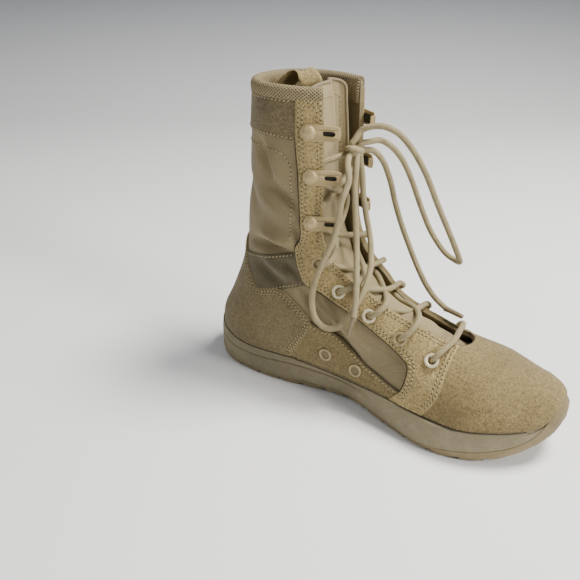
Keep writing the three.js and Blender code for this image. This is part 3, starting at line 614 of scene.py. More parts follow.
class Patch:
    # A fine grid over part of the last, cut to a signed distance.
    def __init__(self, gapAt, places, turns, cell):
        probe = lastPoint(np.linspace(*places, 40)[:, None], np.linspace(*turns, 40)[None, :])
        tall, wide = (np.linalg.norm(np.diff(probe, axis=k), axis=-1).sum(axis=k).max() for k in (0, 1))
        self.rows = max(8, int(tall / cell) + 1)
        self.columns = max(8, int(wide / cell) + 1)
        self.place, self.turn = np.meshgrid(
            np.linspace(*places, self.rows), np.linspace(*turns, self.columns), indexing="ij"
        )
        points = lastPoint(self.place, self.turn)
        self.gap = gapAt(self.place, self.turn, points, lastNormal(self.place, self.turn))
        self.snap()

    def snap(self):
        # The nearer end of each cut edge moves onto the outline.
        gap = self.gap
        take = np.zeros(gap.shape, dtype=bool)
        # Transposing the views covers both directions of the grid.
        for values, taken in ((gap, take), (gap.T, take.T)):
            a, b = values[:-1], values[1:]
            cut = (a > 0) != (b > 0)
            nearA = cut & (np.abs(a) <= np.abs(b))
            taken[:-1] |= nearA
            taken[1:] |= cut & ~nearA
        stepPlace = self.place[1, 0] - self.place[0, 0]
        stepTurn = self.turn[0, 1] - self.turn[0, 0]
        downhill = np.gradient(gap, axis=0) / stepPlace
        sideways = np.gradient(gap, axis=1) / stepTurn
        weight = np.array([stepPlace, stepTurn]) ** 2
        size = downhill ** 2 * weight[0] + sideways ** 2 * weight[1]
        size = np.maximum(size, 1e-9)
        movePlace = np.clip(-gap * downhill * weight[0] / size, -0.7 * stepPlace, 0.7 * stepPlace)
        moveTurn = np.clip(-gap * sideways * weight[1] / size, -0.7 * abs(stepTurn), 0.7 * abs(stepTurn))
        self.place = np.where(take, self.place + movePlace, self.place)
        self.turn = np.where(take, self.turn + moveTurn, self.turn)
        self.gap = np.where(take, 0.0, gap)

    def faces(self):
        # Whole squares first, then the triangles left where one corner is cut off.
        index = np.arange(self.rows * self.columns).reshape(self.rows, self.columns)
        corners = [index[:-1, :-1], index[1:, :-1], index[1:, 1:], index[:-1, 1:]]
        gaps = [self.gap.ravel()[corner] for corner in corners]
        keep = [gap >= 0 for gap in gaps]
        some = np.any([gap > 1e-6 for gap in gaps], axis=0)
        full = some & np.all(keep, axis=0)
        out = np.stack([corner[full] for corner in corners], axis=-1).tolist()
        for skip in range(4):
            used = [k for k in range(4) if k != skip]
            mask = some & ~keep[skip] & np.all([keep[k] for k in used], axis=0)
            out += np.stack([corners[k][mask] for k in used], axis=-1).tolist()
        return out

    def clothMap(self):
        points = lastPoint(self.place, self.turn)
        across = lengthsAlong(points, axis=1)
        across -= across[:, self.columns // 2][:, None]
        return np.stack([across, lengthsAlong(points)], axis=-1) / 1000.0


def closedSheet(name, patch, topHeight, bottomHeight):
    # A patch with a top, an underside at one height and a rim between them.
    faces = patch.faces()
    used = sorted({v for face in faces for v in face})
    number = {v: k for k, v in enumerate(used)}
    faces = [[number[v] for v in face] for face in faces]
    used = np.array(used)
    place = patch.place.ravel()[used]
    turn = patch.turn.ravel()[used]
    gap = patch.gap.ravel()[used]
    top = onBoot(place, turn, topHeight(gap))[0]
    bottom = onBoot(place, turn, np.full(gap.shape, bottomHeight))[0]
    count = len(used)
    # A dictionary keeps the edges in order.
    edges = dict.fromkeys(pair for face in faces for pair in zip(face, face[1:] + face[:1]))
    allFaces = faces + [[v + count for v in reversed(face)] for face in faces]
    allFaces += [[b, a, a + count, b + count] for a, b in edges if (b, a) not in edges]
    uv = patch.clothMap().reshape(-1, 2)[used]
    edge = np.concatenate([gap, gap])
    return meshFrom(name, np.concatenate([top, bottom]), allFaces, np.concatenate([uv, uv]), edge, sharp=50)


def contour(patch, value, height):
    # Lines on the patch where the distance from the edge has a value.
    gap = patch.gap - value
    crossings = {}

    def crossing(key, a, b):
        if key not in crossings:
            t = gap[a] / (gap[a] - gap[b])
            crossings[key] = [grid[a] + (grid[b] - grid[a]) * t for grid in (patch.place, patch.turn)]
        return key

    positive = gap > 0
    corners = [positive[:-1, :-1], positive[:-1, 1:], positive[1:, 1:], positive[1:, :-1]]
    mixed = np.any(corners, axis=0) & ~np.all(corners, axis=0)
    links = {}
    for i, j in zip(*np.nonzero(mixed)):
        square = [(i, j), (i, j + 1), (i + 1, j + 1), (i + 1, j)]
        found = []
        for a, b in zip(square, square[1:] + square[:1]):
            if positive[a] != positive[b]:
                found.append(crossing((min(a, b), max(a, b)), a, b))
        if len(found) == 2:
            links.setdefault(found[0], []).append(found[1])
            links.setdefault(found[1], []).append(found[0])
    lines = []
    unused = set(links)
    ends = [key for key in links if len(links[key]) == 1]
    for start in ends + sorted(unused):
        if start not in unused:
            continue
        line = [start]
        unused.discard(start)
        here = start
        while True:
            ahead = [key for key in links[here] if key in unused]
            if not ahead:
                break
            here = ahead[0]
            unused.discard(here)
            line.append(here)
        if len(links[line[-1]]) > 1 and line[0] in links[line[-1]]:
            line.append(line[0])
        if len(line) > 6:
            uv = np.array([crossings[key] for key in line])
            lines.append(onBoot(uv[:, 0], uv[:, 1], height))
    return lines


# Materials
def suedeMaterial(name, colour, soil=0.5, edgeShade=0.55):
    # Rough-side-out leather: mottled nap, patches darkening it toward the sole, partly soil and partly
    # painted shade, raw edges in another shade.
    material, tree = newMaterial(name)
    space = objectSpace(tree)
    cloudy = noiseOf(tree, space, 26.0, 5.0, 0.62)
    nap = noiseOf(tree, space, 620.0, 3.0, 0.65)
    fibre = noiseOf(tree, space, 1500.0, 2.0, 0.5)
    base = ramp(tree, cloudy, [(0.3, shade(colour, 0.8)), (0.5, colour), (0.7, shade(colour, 1.16))])
    patchy = ramp(tree, nap, [(0.34, grey(0.55)), (0.5, grey(1.0)), (0.66, grey(1.3))])
    base = mixColour(tree, 0.85, base, patchy, "MULTIPLY")
    fine = ramp(tree, fibre, [(0.34, grey(0.6)), (0.5, grey(1.0)), (0.64, grey(1.3))])
    base = mixColour(tree, 0.8, base, fine, "MULTIPLY")
    # Partly soil, partly painted shade: darker patches in the lowest few centimetres, strongest at the sole.
    low = mathOf(tree, "MULTIPLY_ADD", splitOf(tree, space)[2], -14.0, 1.05, clamp=True)
    blots = ramp(tree, noiseOf(tree, space, 55.0, 5.0, 0.7), [(0.42, grey(0.0)), (0.62, grey(1.0))])
    dirtAndShade = mathOf(tree, "MULTIPLY", mathOf(tree, "MULTIPLY", low, blots), 0.55)
    base = mixColour(tree, dirtAndShade, base, shade(colour, 0.6))
    edge = add(tree, "ShaderNodeAttribute", attribute_name="edge")
    worn = mathOf(tree, "LESS_THAN", edge.outputs["Fac"], 0.55)
    base = mixColour(tree, mathOf(tree, "MULTIPLY", worn, soil), base, shade(colour, edgeShade))
    height = mathOf(tree, "ADD", mathOf(tree, "MULTIPLY", nap, 0.7), mathOf(tree, "MULTIPLY", fibre, 0.3))
    finishShader(
        tree, base, (height, 0.001, 0.9), roughness=0.93, specular=0.18,
        sheen=0.22, sheenRoughness=0.45, sheenTint=(1.0, 0.93, 0.8, 1),
    )
    return material


def weaveHeight(tree, vector, pitch):
    # Plain weave: threads over and under each other, a pitch apart.
    split = splitOf(tree, vector)
    across, down = (
        mathOf(tree, "SINE", mathOf(tree, "MULTIPLY", split[k], math.pi / pitch)) for k in (0, 1)
    )
    over = mathOf(tree, "MULTIPLY", across, down)
    ridges = mathOf(tree, "ADD", mathOf(tree, "ABSOLUTE", across), mathOf(tree, "ABSOLUTE", down))
    return mathOf(tree, "ADD", mathOf(tree, "MULTIPLY", over, 0.35), mathOf(tree, "MULTIPLY", ridges, 0.5))


def clothMaterial(name, colour, pitch=0.0013, roughness=0.8, depth=0.00022):
    material, tree = newMaterial(name)
    space = objectSpace(tree)
    weave = weaveHeight(tree, clothSpace(tree), pitch)
    # Painted shade in the weave's hollows and painted light on the threads' tops.
    base = ramp(tree, weave, [(0.15, shade(colour, 0.84)), (0.62, colour), (1.0, shade(colour, 1.08))])
    base = mottled(tree, base, 0.8, space, 30.0, 4.0, 0.84, 1.1)
    base = mottled(tree, base, 0.6, space, 900.0, 2.0, 0.86, 1.08)
    finishShader(tree, base, (weave, depth, 0.8), roughness=roughness, specular=0.25, sheen=0.12)
    return material


def meshMaterial(name, yarn, hole):
    # Spacer mesh: rows of small round holes between pale yarns, the holes near black as painted shade inside
    # them.
    material, tree = newMaterial(name)
    spread = add(tree, "ShaderNodeMapping")
    spread.inputs["Scale"].default_value = (560.0, 660.0, 1.0)
    spread.inputs["Rotation"].default_value = (0, 0, math.radians(45))
    tree.links.new(clothSpace(tree), spread.inputs["Vector"])
    cells = add(tree, "ShaderNodeTexVoronoi", Scale=1.0, Randomness=0.12)
    tree.links.new(spread.outputs[0], cells.inputs["Vector"])
    gap = cells.outputs["Distance"]
    # Painted shade: the holes and the yarn round them darker, for the shadow in the holes.
    base = ramp(tree, gap, [(0.2, hole), (0.36, shade(yarn, 0.7)), (0.6, yarn)])
    base = mottled(tree, base, 0.8, objectSpace(tree), 60.0, 4.0, 0.75, 1.15)
    finishShader(tree, base, (gap, 0.0009, 0.9), roughness=0.85, specular=0.25)
    return material


def rubberMaterial(name, colour, grain=700.0, depth=0.0003, roughness=0.72, dust=None):
    material, tree = newMaterial(name)
    space = objectSpace(tree)
    cloudy = noiseOf(tree, space, 35.0, 5.0, 0.6)
    speck = noiseOf(tree, space, grain, 3.0)
    base = ramp(tree, cloudy, [(0.28, shade(colour, 0.8)), (0.5, colour), (0.72, shade(colour, 1.15))])
    fine = ramp(tree, speck, [(0.3, grey(0.86)), (0.7, grey(1.08))])
    base = mixColour(tree, 0.7, base, fine, "MULTIPLY")
    if dust:
        rubbed = ramp(tree, noiseOf(tree, space, 90.0, 6.0, 0.7), [(0.5, grey(0.0)), (0.66, grey(1.0))])
        base = mixColour(tree, mathOf(tree, "MULTIPLY", rubbed, 0.35), base, dust)
    finishShader(tree, base, (speck, depth, 0.8), roughness=roughness, specular=0.35)
    return material


def paintMaterial(name, colour, bare, roughness=0.42):
    # Paint on metal, chipped in small spots.
    material, tree = newMaterial(name)
    space = objectSpace(tree)
    chips = ramp(tree, noiseOf(tree, space, 240.0, 6.0, 0.7), [(0.6, grey(0.0)), (0.68, grey(1.0))])
    clouds = noiseOf(tree, space, 120.0, 3.0)
    paint = ramp(tree, clouds, [(0.3, shade(colour, 0.85)), (0.7, shade(colour, 1.1))])
    base = mixColour(tree, mathOf(tree, "MULTIPLY", chips, 0.5), paint, bare)
    grain = noiseOf(tree, space, 600.0, 2.0)
    finishShader(tree, base, (grain, 0.0001, 0.6), roughness=roughness, metallic=0.25)
    return material


def braidMaterial(name, colour, paintedShade):
    # Round braided cord: yarns crossing on both slants, with painted shade between them and painted light on
    # their crowns. The cloth map runs in yarn widths.
    material, tree = newMaterial(name)
    split = splitOf(tree, clothSpace(tree))
    run = mathOf(tree, "MULTIPLY", split[0], 2 * math.pi)
    turn = mathOf(tree, "MULTIPLY", split[1], 2 * math.pi)
    one, two = (
        mathOf(tree, "SINE", mathOf(tree, kind, run, mathOf(tree, "MULTIPLY", turn, 8.0)))
        for kind in ("ADD", "SUBTRACT")
    )
    yarns = mathOf(tree, "MAXIMUM", one, two)
    # Painted shade between the yarns, and painted light on their crowns.
    base = ramp(tree, yarns, [(0.1, paintedShade), (0.55, colour), (0.95, shade(colour, 1.18))])
    base = mottled(tree, base, 0.8, objectSpace(tree), 180.0, 4.0, 0.8, 1.1)
    finishShader(tree, base, (yarns, 0.00028, 0.9), roughness=0.8, specular=0.25)
    return material


tan = (0.215, 0.16, 0.071)
suede = suedeMaterial("suede", tan)
# The heel counter: the tan suede in a darker copy, painted shade low on the heel.
shadedCounterSuede = suedeMaterial("counterSuedePaintedShade", (0.175, 0.137, 0.068), edgeShade=1.9)
bandSuede = suedeMaterial("bandSuede", (0.155, 0.123, 0.066), edgeShade=1.3)
wingSuede = suedeMaterial("wingSuede", (0.19, 0.143, 0.065))
# The eyestays: the tan suede in a much lighter copy, painted light on the boot's side.
staySuedePaintedLight = suedeMaterial("staySuedePaintedLight", (0.35, 0.263, 0.116))
suedeLoop = suedeMaterial("loopSuede", shade(tan, 1.3), 0.15)
shaftNylon = clothMaterial("shaftNylon", (0.235, 0.187, 0.098))
# The ankle band: darker than the shaft's nylon, partly painted shade low on the heel.
bandNylonPaintedShade = clothMaterial("bandNylonPaintedShade", (0.115, 0.092, 0.05), pitch=0.0017, depth=0.0003)
pipingCloth = clothMaterial("piping", (0.3, 0.24, 0.13), pitch=0.001)
insoleCloth = rubberMaterial("insoleCloth", (0.09, 0.078, 0.06), 900.0, 0.0003, 0.95)
# Near black for painted shade: the dark spots in the needle holes and the painted shadow lines.
shadowBlack = rubberMaterial("paintedShadow", (0.05, 0.04, 0.025), 900.0, 0.0001, 0.95)
screenDark = rubberMaterial("ventScreen", (0.17, 0.135, 0.07), 1400.0, 0.0004, 0.8)
# Near black for painted shade under the hooks' slots.
slotShadow = rubberMaterial("hookInside", (0.035, 0.03, 0.022), 900.0, 0.0001, 0.6)
tongueCloth = clothMaterial("tongueCloth", (0.3, 0.238, 0.125), pitch=0.0013, roughness=0.75)
cuffMesh = meshMaterial("cuffMesh", (0.36, 0.285, 0.155), (0.025, 0.02, 0.014))
threadMaterial = rubberMaterial("thread", (0.36, 0.29, 0.155), 2200.0, 0.0001, 0.6)
midsoleFoam = rubberMaterial("midsoleFoam", (0.22, 0.185, 0.108), 500.0, 0.00022, 0.78, (0.3, 0.26, 0.18))
outsoleRubber = rubberMaterial(
    "outsoleRubber", (0.21, 0.158, 0.078), 420.0, 0.0004, 0.66, (0.31, 0.245, 0.135)
)
hookPaint = paintMaterial("hookPaint", (0.42, 0.315, 0.15), (0.16, 0.13, 0.08))
tanPaint = paintMaterial("tanPaint", (0.34, 0.265, 0.135), (0.2, 0.17, 0.11), 0.5)
eyeletPaint = paintMaterial("eyeletPaint", (0.72, 0.63, 0.42), (0.4, 0.35, 0.25), 0.38)
laceBraid = braidMaterial("laceBraid", (0.37, 0.305, 0.17), (0.25, 0.205, 0.115))
agletPlastic = rubberMaterial("aglet", (0.2, 0.155, 0.085), 300.0, 0.0001, 0.35)
print("materials ready")


# The nylon shell
def shellGap(place, turn, points, normals):
    above = points[..., 2] - topLine(points[..., 0]) - 0.3
    above = above / np.sqrt(np.maximum(1 - normals[..., 2] ** 2, 0.2))
    below = collarLevel(points[..., 0]) - points[..., 2]
    # Behind there is no throat, so the distance from it is only some large number.
    throat = np.where(np.abs(turn) < math.pi / 2, 40.0, throatGap(place, points, normals))
    return np.minimum(np.minimum(above, below), throat)


# Lines with the directions outwards: where stitches run, and where dark lines of painted shadow lie along
# edges and gaps.
stitchLines = []
shadowLines = []


def keepStretches(points, normal, seen, kept=stitchLines):
    # Keeps the stretches of a line that show.
    ends = np.flatnonzero(np.diff(np.concatenate([[False], seen, [False]]).astype(int)))
    for first, last in zip(ends[::2], ends[1::2]):
        if last - first > 6:
            kept.append((points[first:last], normal[first:last]))


# Shares of the sole's length where the painted shadow line over the sole ends and the one down the throat
# starts, how near the sole the first lies, and how far above it the second stops, in millimetres.
shadowLineLook = {"soleEnd": 0.94, "throatStart": 0.66, "near": 2.5, "above": 12.0}


def makeShell():
    patch = Patch(shellGap, (-0.2, lastPlace), (-math.pi, math.pi), 2.3)
    length = boot["soleLength"]
    mesh = closedSheet("nylon_shell", patch, np.zeros_like, -boot["wall"])
    addPiece("nylon_shell", mesh, shaftNylon, ["upper"])
    # Painted shadow: a dark line along the gap over the sole, and one down the throat's edge.
    for points, normal in contour(patch, 0.1, boot["panel"] + 0.1):
        low = np.abs(points[:, 2] - topLine(points[:, 0])) < shadowLineLook["near"]
        keepStretches(points, normal, low & (points[:, 0] < shadowLineLook["soleEnd"] * length), shadowLines)
    for points, normal in contour(patch, -0.3, 0.2):
        front = points[:, 0] > shadowLineLook["throatStart"] * length
        high = points[:, 2] > topLine(points[:, 0]) + shadowLineLook["above"]
        keepStretches(points, normal, front & high, shadowLines)


# Side outlines of the panels: x as a share of the sole's length, and height share.
eyestayOutline = roundedOutline([
    [0.316, 2.4], [0.317, 1.75], [0.326, 1.54], [0.329, 1.33], [0.334, 1.17], [0.316, 1.07],
    [0.334, 0.915], [0.349, 0.85], [0.386, 0.835], [0.468, 0.737], [0.576, 0.588], [0.62, 0.522],
    [0.641, 0.495], [0.647, 0.44], [0.643, 0.33], [0.6, 0.2], [0.585, 0.1], [0.675, 0.1],
    [0.692, 0.17], [0.735, 0.355], [0.737, 0.46], [0.736, 0.54], [0.736, 1.3], [0.6, 2.4],
])
counterOutline = roundedOutline([
    [-0.05, 1.02], [0.113, 1.02], [0.14, 0.9], [0.2, 0.72], [0.275, 0.78], [0.323, 0.722],
    [0.362, 0.65], [0.375, 0.6], [0.372, 0.545], [0.35, 0.445], [0.313, 0.3], [0.3, 0.1],
    [-0.05, 0.1],
])
ankleOutline = roundedOutline([
    [-0.05, 0.9], [0.1, 0.9], [0.185, 0.955], [0.31, 1.05], [0.42, 1.1], [0.42, 0.84],
    [0.345, 0.84], [0.27, 0.76], [0.2, 0.7], [-0.05, 0.7],
])
collarBandOutline = roundedOutline([
    [-0.05, 2.2], [0.5, 2.2], [0.5, 1.715], [0.25, 1.74], [-0.05, 1.76],
])
quarterOutline = roundedOutline([
    [0.33, 0.7], [0.377, 0.585], [0.41, 0.56], [0.438, 0.565], [0.475, 0.498], [0.526, 0.4],
    [0.578, 0.35], [0.615, 0.315], [0.7, 0.28], [0.7, 0.05], [0.26, 0.05], [0.26, 0.45],
])
vampOutline = roundedOutline([
    [0.68, -0.1], [0.69, 0.17], [0.73, 0.355], [0.732, 0.46], [0.731, 0.54], [0.731, 1.2],
    [1.2, 1.2], [1.2, -0.1],
])
shaftSeam = roundedOutline([
    [-0.05, 1.69], [0.28, 1.67], [0.309, 1.6], [0.309, 1.4], [0.306, 1.15], [0.3, 0.95], [-0.05, 0.95],
])


# Millimetres: the rolled edge's reach and drop, the stitch grooves' depth, how far a panel stops
# below the collar, and how far it runs in under another panel.
panelEdge = {
    "roll": 1.3, "drop": 0.55, "groove": 0.3, "grooveWidth": 0.8, "underside": -0.25,
    "belowCollar": 5.0, "under": 4.5,
}
# How deep stitches sit, and how far they keep above the sole and clear of a panel that covers them.
stitchPlace = {"sunk": 0.12, "aboveSole": 6.0, "clear": 2.6}
# The painted shadow line outside a panel's edge: its distance outside the panel and its height, how far it
# keeps above the sole and clear of a panel that covers it, and how near the outline it has to be.
edgeShadow = {"outside": 0.55, "height": 0.75, "aboveSole": 2.0, "clear": 0.5, "near": 1.3}


def panelGap(outline, side=0, cut=None):
    def gapAt(place, turn, points, normals):
        gap = np.minimum(outlineGap(outline, points, normals), shellGap(place, turn, points, normals))
        top = collarLevel(points[..., 0]) - panelEdge["belowCollar"] - points[..., 2]
        gap = np.minimum(gap, top)
        if side:
            gap = np.minimum(gap, side * (points[..., 1] - 1.0))
        if cut is not None:
            gap = np.minimum(gap, panelEdge["under"] - outlineGap(cut, points, normals))
        return gap

    return gapAt


def makePanel(
    name, outline, places, turns, material, nodes, over, rows,
    side=0, cut=None, paintedShade=False, cell=1.25,
):
    # Over is the thickness past the usual one; rows are the stitch rows' distances from the edge.
    patch = Patch(panelGap(outline, side, cut), places, turns, cell)
    thick = boot["panel"] + over

    def topHeight(gap):
        rolled = np.sqrt(np.clip(1 - (1 - np.clip(gap / panelEdge["roll"], 0, 1)) ** 2, 0, 1))
        height = thick - panelEdge["drop"] * (1 - rolled)
        for row in rows:
            height = height - panelEdge["groove"] * hump(gap, row, panelEdge["grooveWidth"])
        return height

    def seenOn(points, normal, keep):
        seen = points[:, 2] > topLine(points[:, 0]) + keep["aboveSole"]
        if cut is not None:
            seen &= outlineGap(cut, points, normal) < -keep["clear"]
        return seen

    mesh = closedSheet(name, patch, topHeight, panelEdge["underside"])
    addPiece(name, mesh, material, nodes)
    for row in rows:
        for points, normal in contour(patch, row, thick - stitchPlace["sunk"]):
            keepStretches(points, normal, seenOn(points, normal, stitchPlace))
    if not paintedShade:
        return
    # Painted shadow: a dark line just outside the panel's edge.
    for points, normal in contour(patch, -edgeShadow["outside"], edgeShadow["height"]):
        near = np.abs(outlineGap(outline, points, normal)) < edgeShadow["near"]
        keepStretches(points, normal, seenOn(points, normal, edgeShadow) & near, shadowLines)


def makePanels():
    for side, label in ((-1, "inner"), (1, "outer")):
        makePanel(
            f"eyestay_{label}_suede", eyestayOutline, (-0.2, 10.2), sorted((side * 1.15, side * 2.95)),
            staySuedePaintedLight, [f"eyestay_{label}"], 0.35, [2.2, 5.0], side, paintedShade=True,
        )
        makePanel(
            f"quarter_{label}_suede", quarterOutline, (4.5, 10.5), sorted((side * 0.7, side * 2.6)),
            wingSuede, [f"quarter_strip_{label}"], -0.5, [2.2], side, eyestayOutline, paintedShade=True,
        )
    makePanel(
        "heel_counter_suede", counterOutline, (1.8, 8.2), (-2.3, 2.3), shadedCounterSuede, ["heel_counter"],
        0.25, [2.0, 4.4],
    )
    makePanel(
        "ankle_band_cloth", ankleOutline, (1.5, 5.5), (-2.4, 2.4), bandNylonPaintedShade,
        ["ankle_band_inner", "ankle_band_outer"], -0.7, [2.0], cut=eyestayOutline,
    )
    makePanel(
        "collar_band_suede", collarBandOutline, (-0.2, 1.2), (-2.4, 2.4), bandSuede, ["collar_band"],
        -0.5, [2.2], cut=eyestayOutline,
    )
    makePanel(
        "vamp_suede", vampOutline, (6.0, lastPlace - 0.01), (-math.pi, math.pi), suede, ["vamp"],
        -0.2, [], cut=eyestayOutline, cell=1.5,
    )
    # A stitched seam below the collar band that turns down beside the eyestay.
    patch = Patch(panelGap(shaftSeam), (-0.2, 3.6), (-2.4, 2.4), 2.0)
    for points, normal in contour(patch, 0.6, 0.1):
        keepStretches(points, normal, points[:, 2] > level(1.14))


makeShell()
makePanels()
print("shell and panels made")


# Shapes from rings, grids and lines
def closeUp(mesh):
    # Joins vertices that coincide and turns every face outwards.
    shape = bmesh.new()
    shape.from_mesh(mesh)
    bmesh.ops.remove_doubles(shape, verts=shape.verts, dist=2e-6)
    bmesh.ops.recalc_face_normals(shape, faces=shape.faces)
    shape.to_mesh(mesh)
    shape.free()
    mesh.update()
    return mesh


def numbered(rows, columns):
    return np.arange(rows * columns).reshape(rows, columns)


def gridFaces(index, around=False):
    if around:
        index = np.concatenate([index, index[:, :1]], axis=1)
    a, b = index[:-1, :-1], index[:-1, 1:]
    c, d = index[1:, 1:], index[1:, :-1]
    return np.stack([a, b, c, d], axis=-1).reshape(-1, 4).tolist()


def ringsAndEnds(rings):
    # Points and faces of closed rings side by side, with a face over each end.
    rings = np.asarray(rings, dtype=float)
    index = numbered(*rings.shape[:2])
    faces = gridFaces(index, around=True) + [index[0].tolist(), index[-1].tolist()]
    return rings.reshape(-1, 3), faces


def ringLoft(name, rings, uv, sharp=None):
    return closeUp(meshFrom(name, *ringsAndEnds(rings), uv.reshape(-1, 2), sharp=sharp))


def gridSheet(name, top, bottom, uv, sharp=None):
    # A top and an underside with a rim round them.
    index = numbered(*top.shape[:2])
    faces = gridFaces(index) + gridFaces(index + index.size)
    rim = np.concatenate([index[0], index[1:, -1], index[-1, -2::-1], index[-2:0:-1, 0]])
    faces += gridFaces(np.stack([rim, rim + index.size]), around=True)
    points = np.concatenate([top.reshape(-1, 3), bottom.reshape(-1, 3)])
    uv = np.concatenate([uv.reshape(-1, 2)] * 2)
    return closeUp(meshFrom(name, points, faces, uv, sharp=sharp))


def smoothLine(points, step):
    # A centripetal curve through the points, cut at even steps.
    points = np.asarray(points, dtype=float)
    held = np.vstack([2 * points[0] - points[1], points, 2 * points[-1] - points[-2]])
    dense = []
    for k in range(1, len(held) - 2):
        p0, p1, p2, p3 = held[k - 1:k + 3]
        t1 = math.dist(p0, p1) ** 0.5
        t2 = t1 + math.dist(p1, p2) ** 0.5
        t3 = t2 + math.dist(p2, p3) ** 0.5
        t = np.linspace(t1, t2, 24, endpoint=False)[:, None]
        a1 = p0 + (p1 - p0) * t / t1
        a2 = p1 + (p2 - p1) * (t - t1) / (t2 - t1)
        a3 = p2 + (p3 - p2) * (t - t2) / (t3 - t2)
        b1 = a1 + (a2 - a1) * t / t2
        b2 = a2 + (a3 - a2) * (t - t1) / (t3 - t1)
        dense.append(b1 + (b2 - b1) * (t - t1) / (t2 - t1))
    dense = np.vstack(dense + [points[-1:]])
    run = lengthsAlong(dense)
    at = np.linspace(0, run[-1], max(3, int(round(run[-1] / step)) + 1))
    return np.stack([np.interp(at, run, dense[:, k]) for k in range(3)], axis=1)


def tubeMesh(name, line, radius, sides=14, repeat=2.4):
    # A round tube along a line; its cloth map runs in yarn repeats.
    run = unit(np.gradient(line, axis=0))
    side = np.zeros_like(line)
    side[0] = unit(np.cross(run[0], (0.13, 0.2, 0.97)))
    for k in range(1, len(line)):
        side[k] = unit(side[k - 1] - run[k] * np.dot(side[k - 1], run[k]))
    up = np.cross(run, side)
    radii = np.broadcast_to(np.asarray(radius, dtype=float), (len(line),))
    turn = np.linspace(0, 2 * math.pi, sides + 1)
    ring = side[:, None] * np.cos(turn)[None, :, None] + up[:, None] * np.sin(turn)[None, :, None]
    points = line[:, None] + ring * radii[:, None, None]
    uv = np.stack(np.broadcast_arrays(
        (lengthsAlong(line) / repeat)[:, None], np.linspace(0, 1, sides + 1)[None, :]
    ), axis=-1)
    index = numbered(*points.shape[:2])
    faces = gridFaces(index) + [index[0, :-1].tolist(), index[-1, :-1].tolist()]
    return closeUp(meshFrom(name, points.reshape(-1, 3), faces, uv.reshape(-1, 2)))


# Sole
soleLook = {
    "stations": 250,
    "lugPitch": 20.0,
    "lugGap": 4.0,
    "lugDepth": 3.0,
    "lugFlank": 0.35,
    "grooveDepth": 1.25,
    "grooveHalf": 0.7,
    "grooveBelow": 10.3,
    "firstLug": 0.05,
    "lastLug": 0.92,
    "seam": 0.35,
}
# Columns: share of the length, centre, and half width as shares of the heel's and the ball's width.
outlineRows = [
    [0, 0, 0.5, 0], [0.12, 0.002, 0.5, 0], [0.22, 0.018, 0.36, 0.115], [0.35, 0.063, 0.2, 0.22],
    [0.48, 0.09, 0.07, 0.303], [0.6, 0.088, 0, 0.434], [0.7, 0.079, 0, 0.498], [0.8, 0.083, 0, 0.505],
    [0.9, 0.081, 0, 0.477], [1, 0.068, 0, 0.423],
]
heelRound = 42.0
toeRound = 80.0


def outlineAt(x):
    share = x / boot["soleLength"]
    full = along(outlineRows, 2, share) * boot["heelWidth"] + along(outlineRows, 3, share) * boot["ballWidth"]
    ends = np.ones_like(x)
    for distance, radius in ((x, heelRound), (boot["soleLength"] - x, toeRound)):
        near = np.clip(1 - distance / radius, 0, 1)
        ends = ends * np.sqrt(np.clip(1 - near ** 2, 0, 1))
    return along(outlineRows, 1, share) * boot["ballWidth"], full * ends


def sideInset(x, z):
    # How far the sole's side lies inside its outline at a height.
    lean = 1 + 2.6 * smoothStep(x, 0.88 * boot["soleLength"], boot["soleLength"])
    above = z - treadLevel(x)
    below = topLine(x) - z
    foot = np.interp(above, [0, 1.0, 2.5, 6.0], [2.6, 1.7, 0.9, 0]) * lean
    rim = np.interp(below, [0, 0.7, 3.0, 9.1], [1.5, 0.75, 0.5, 0]) * np.where(below < 3, lean, 1)
    depth = along(soleRows, 4, x / boot["soleLength"]) * soleLook["grooveDepth"]
    return np.maximum(foot, rim) + depth * hump(below, soleLook["grooveBelow"], soleLook["grooveHalf"])


def sideWalls(x, heights):
    # Points up both sides of the sole, inner then outer: station, height, xyz.
    walls = []
    length = boot["soleLength"]
    for side in (-1, 1):
        step = 0.05
        before = np.clip(x - step, 0, length)
        after = np.clip(x + step, 0, length)
        edge = []
        for at in (before, x, after):
            centre, half = outlineAt(at)
            edge.append(centre + side * half)
        slope = (edge[2] - edge[0]) / (after - before)
        size = np.hypot(slope, 1)
        out = np.stack([-side * slope / size, side / size], axis=-1)
        rows = []
        for height in heights:
            inset = sideInset(x, height)
            spot = np.stack([x, edge[1]], axis=-1) - out * inset[:, None]
            rows.append(np.column_stack([spot, height]))
        walls.append(np.stack(rows, axis=1))
    return walls


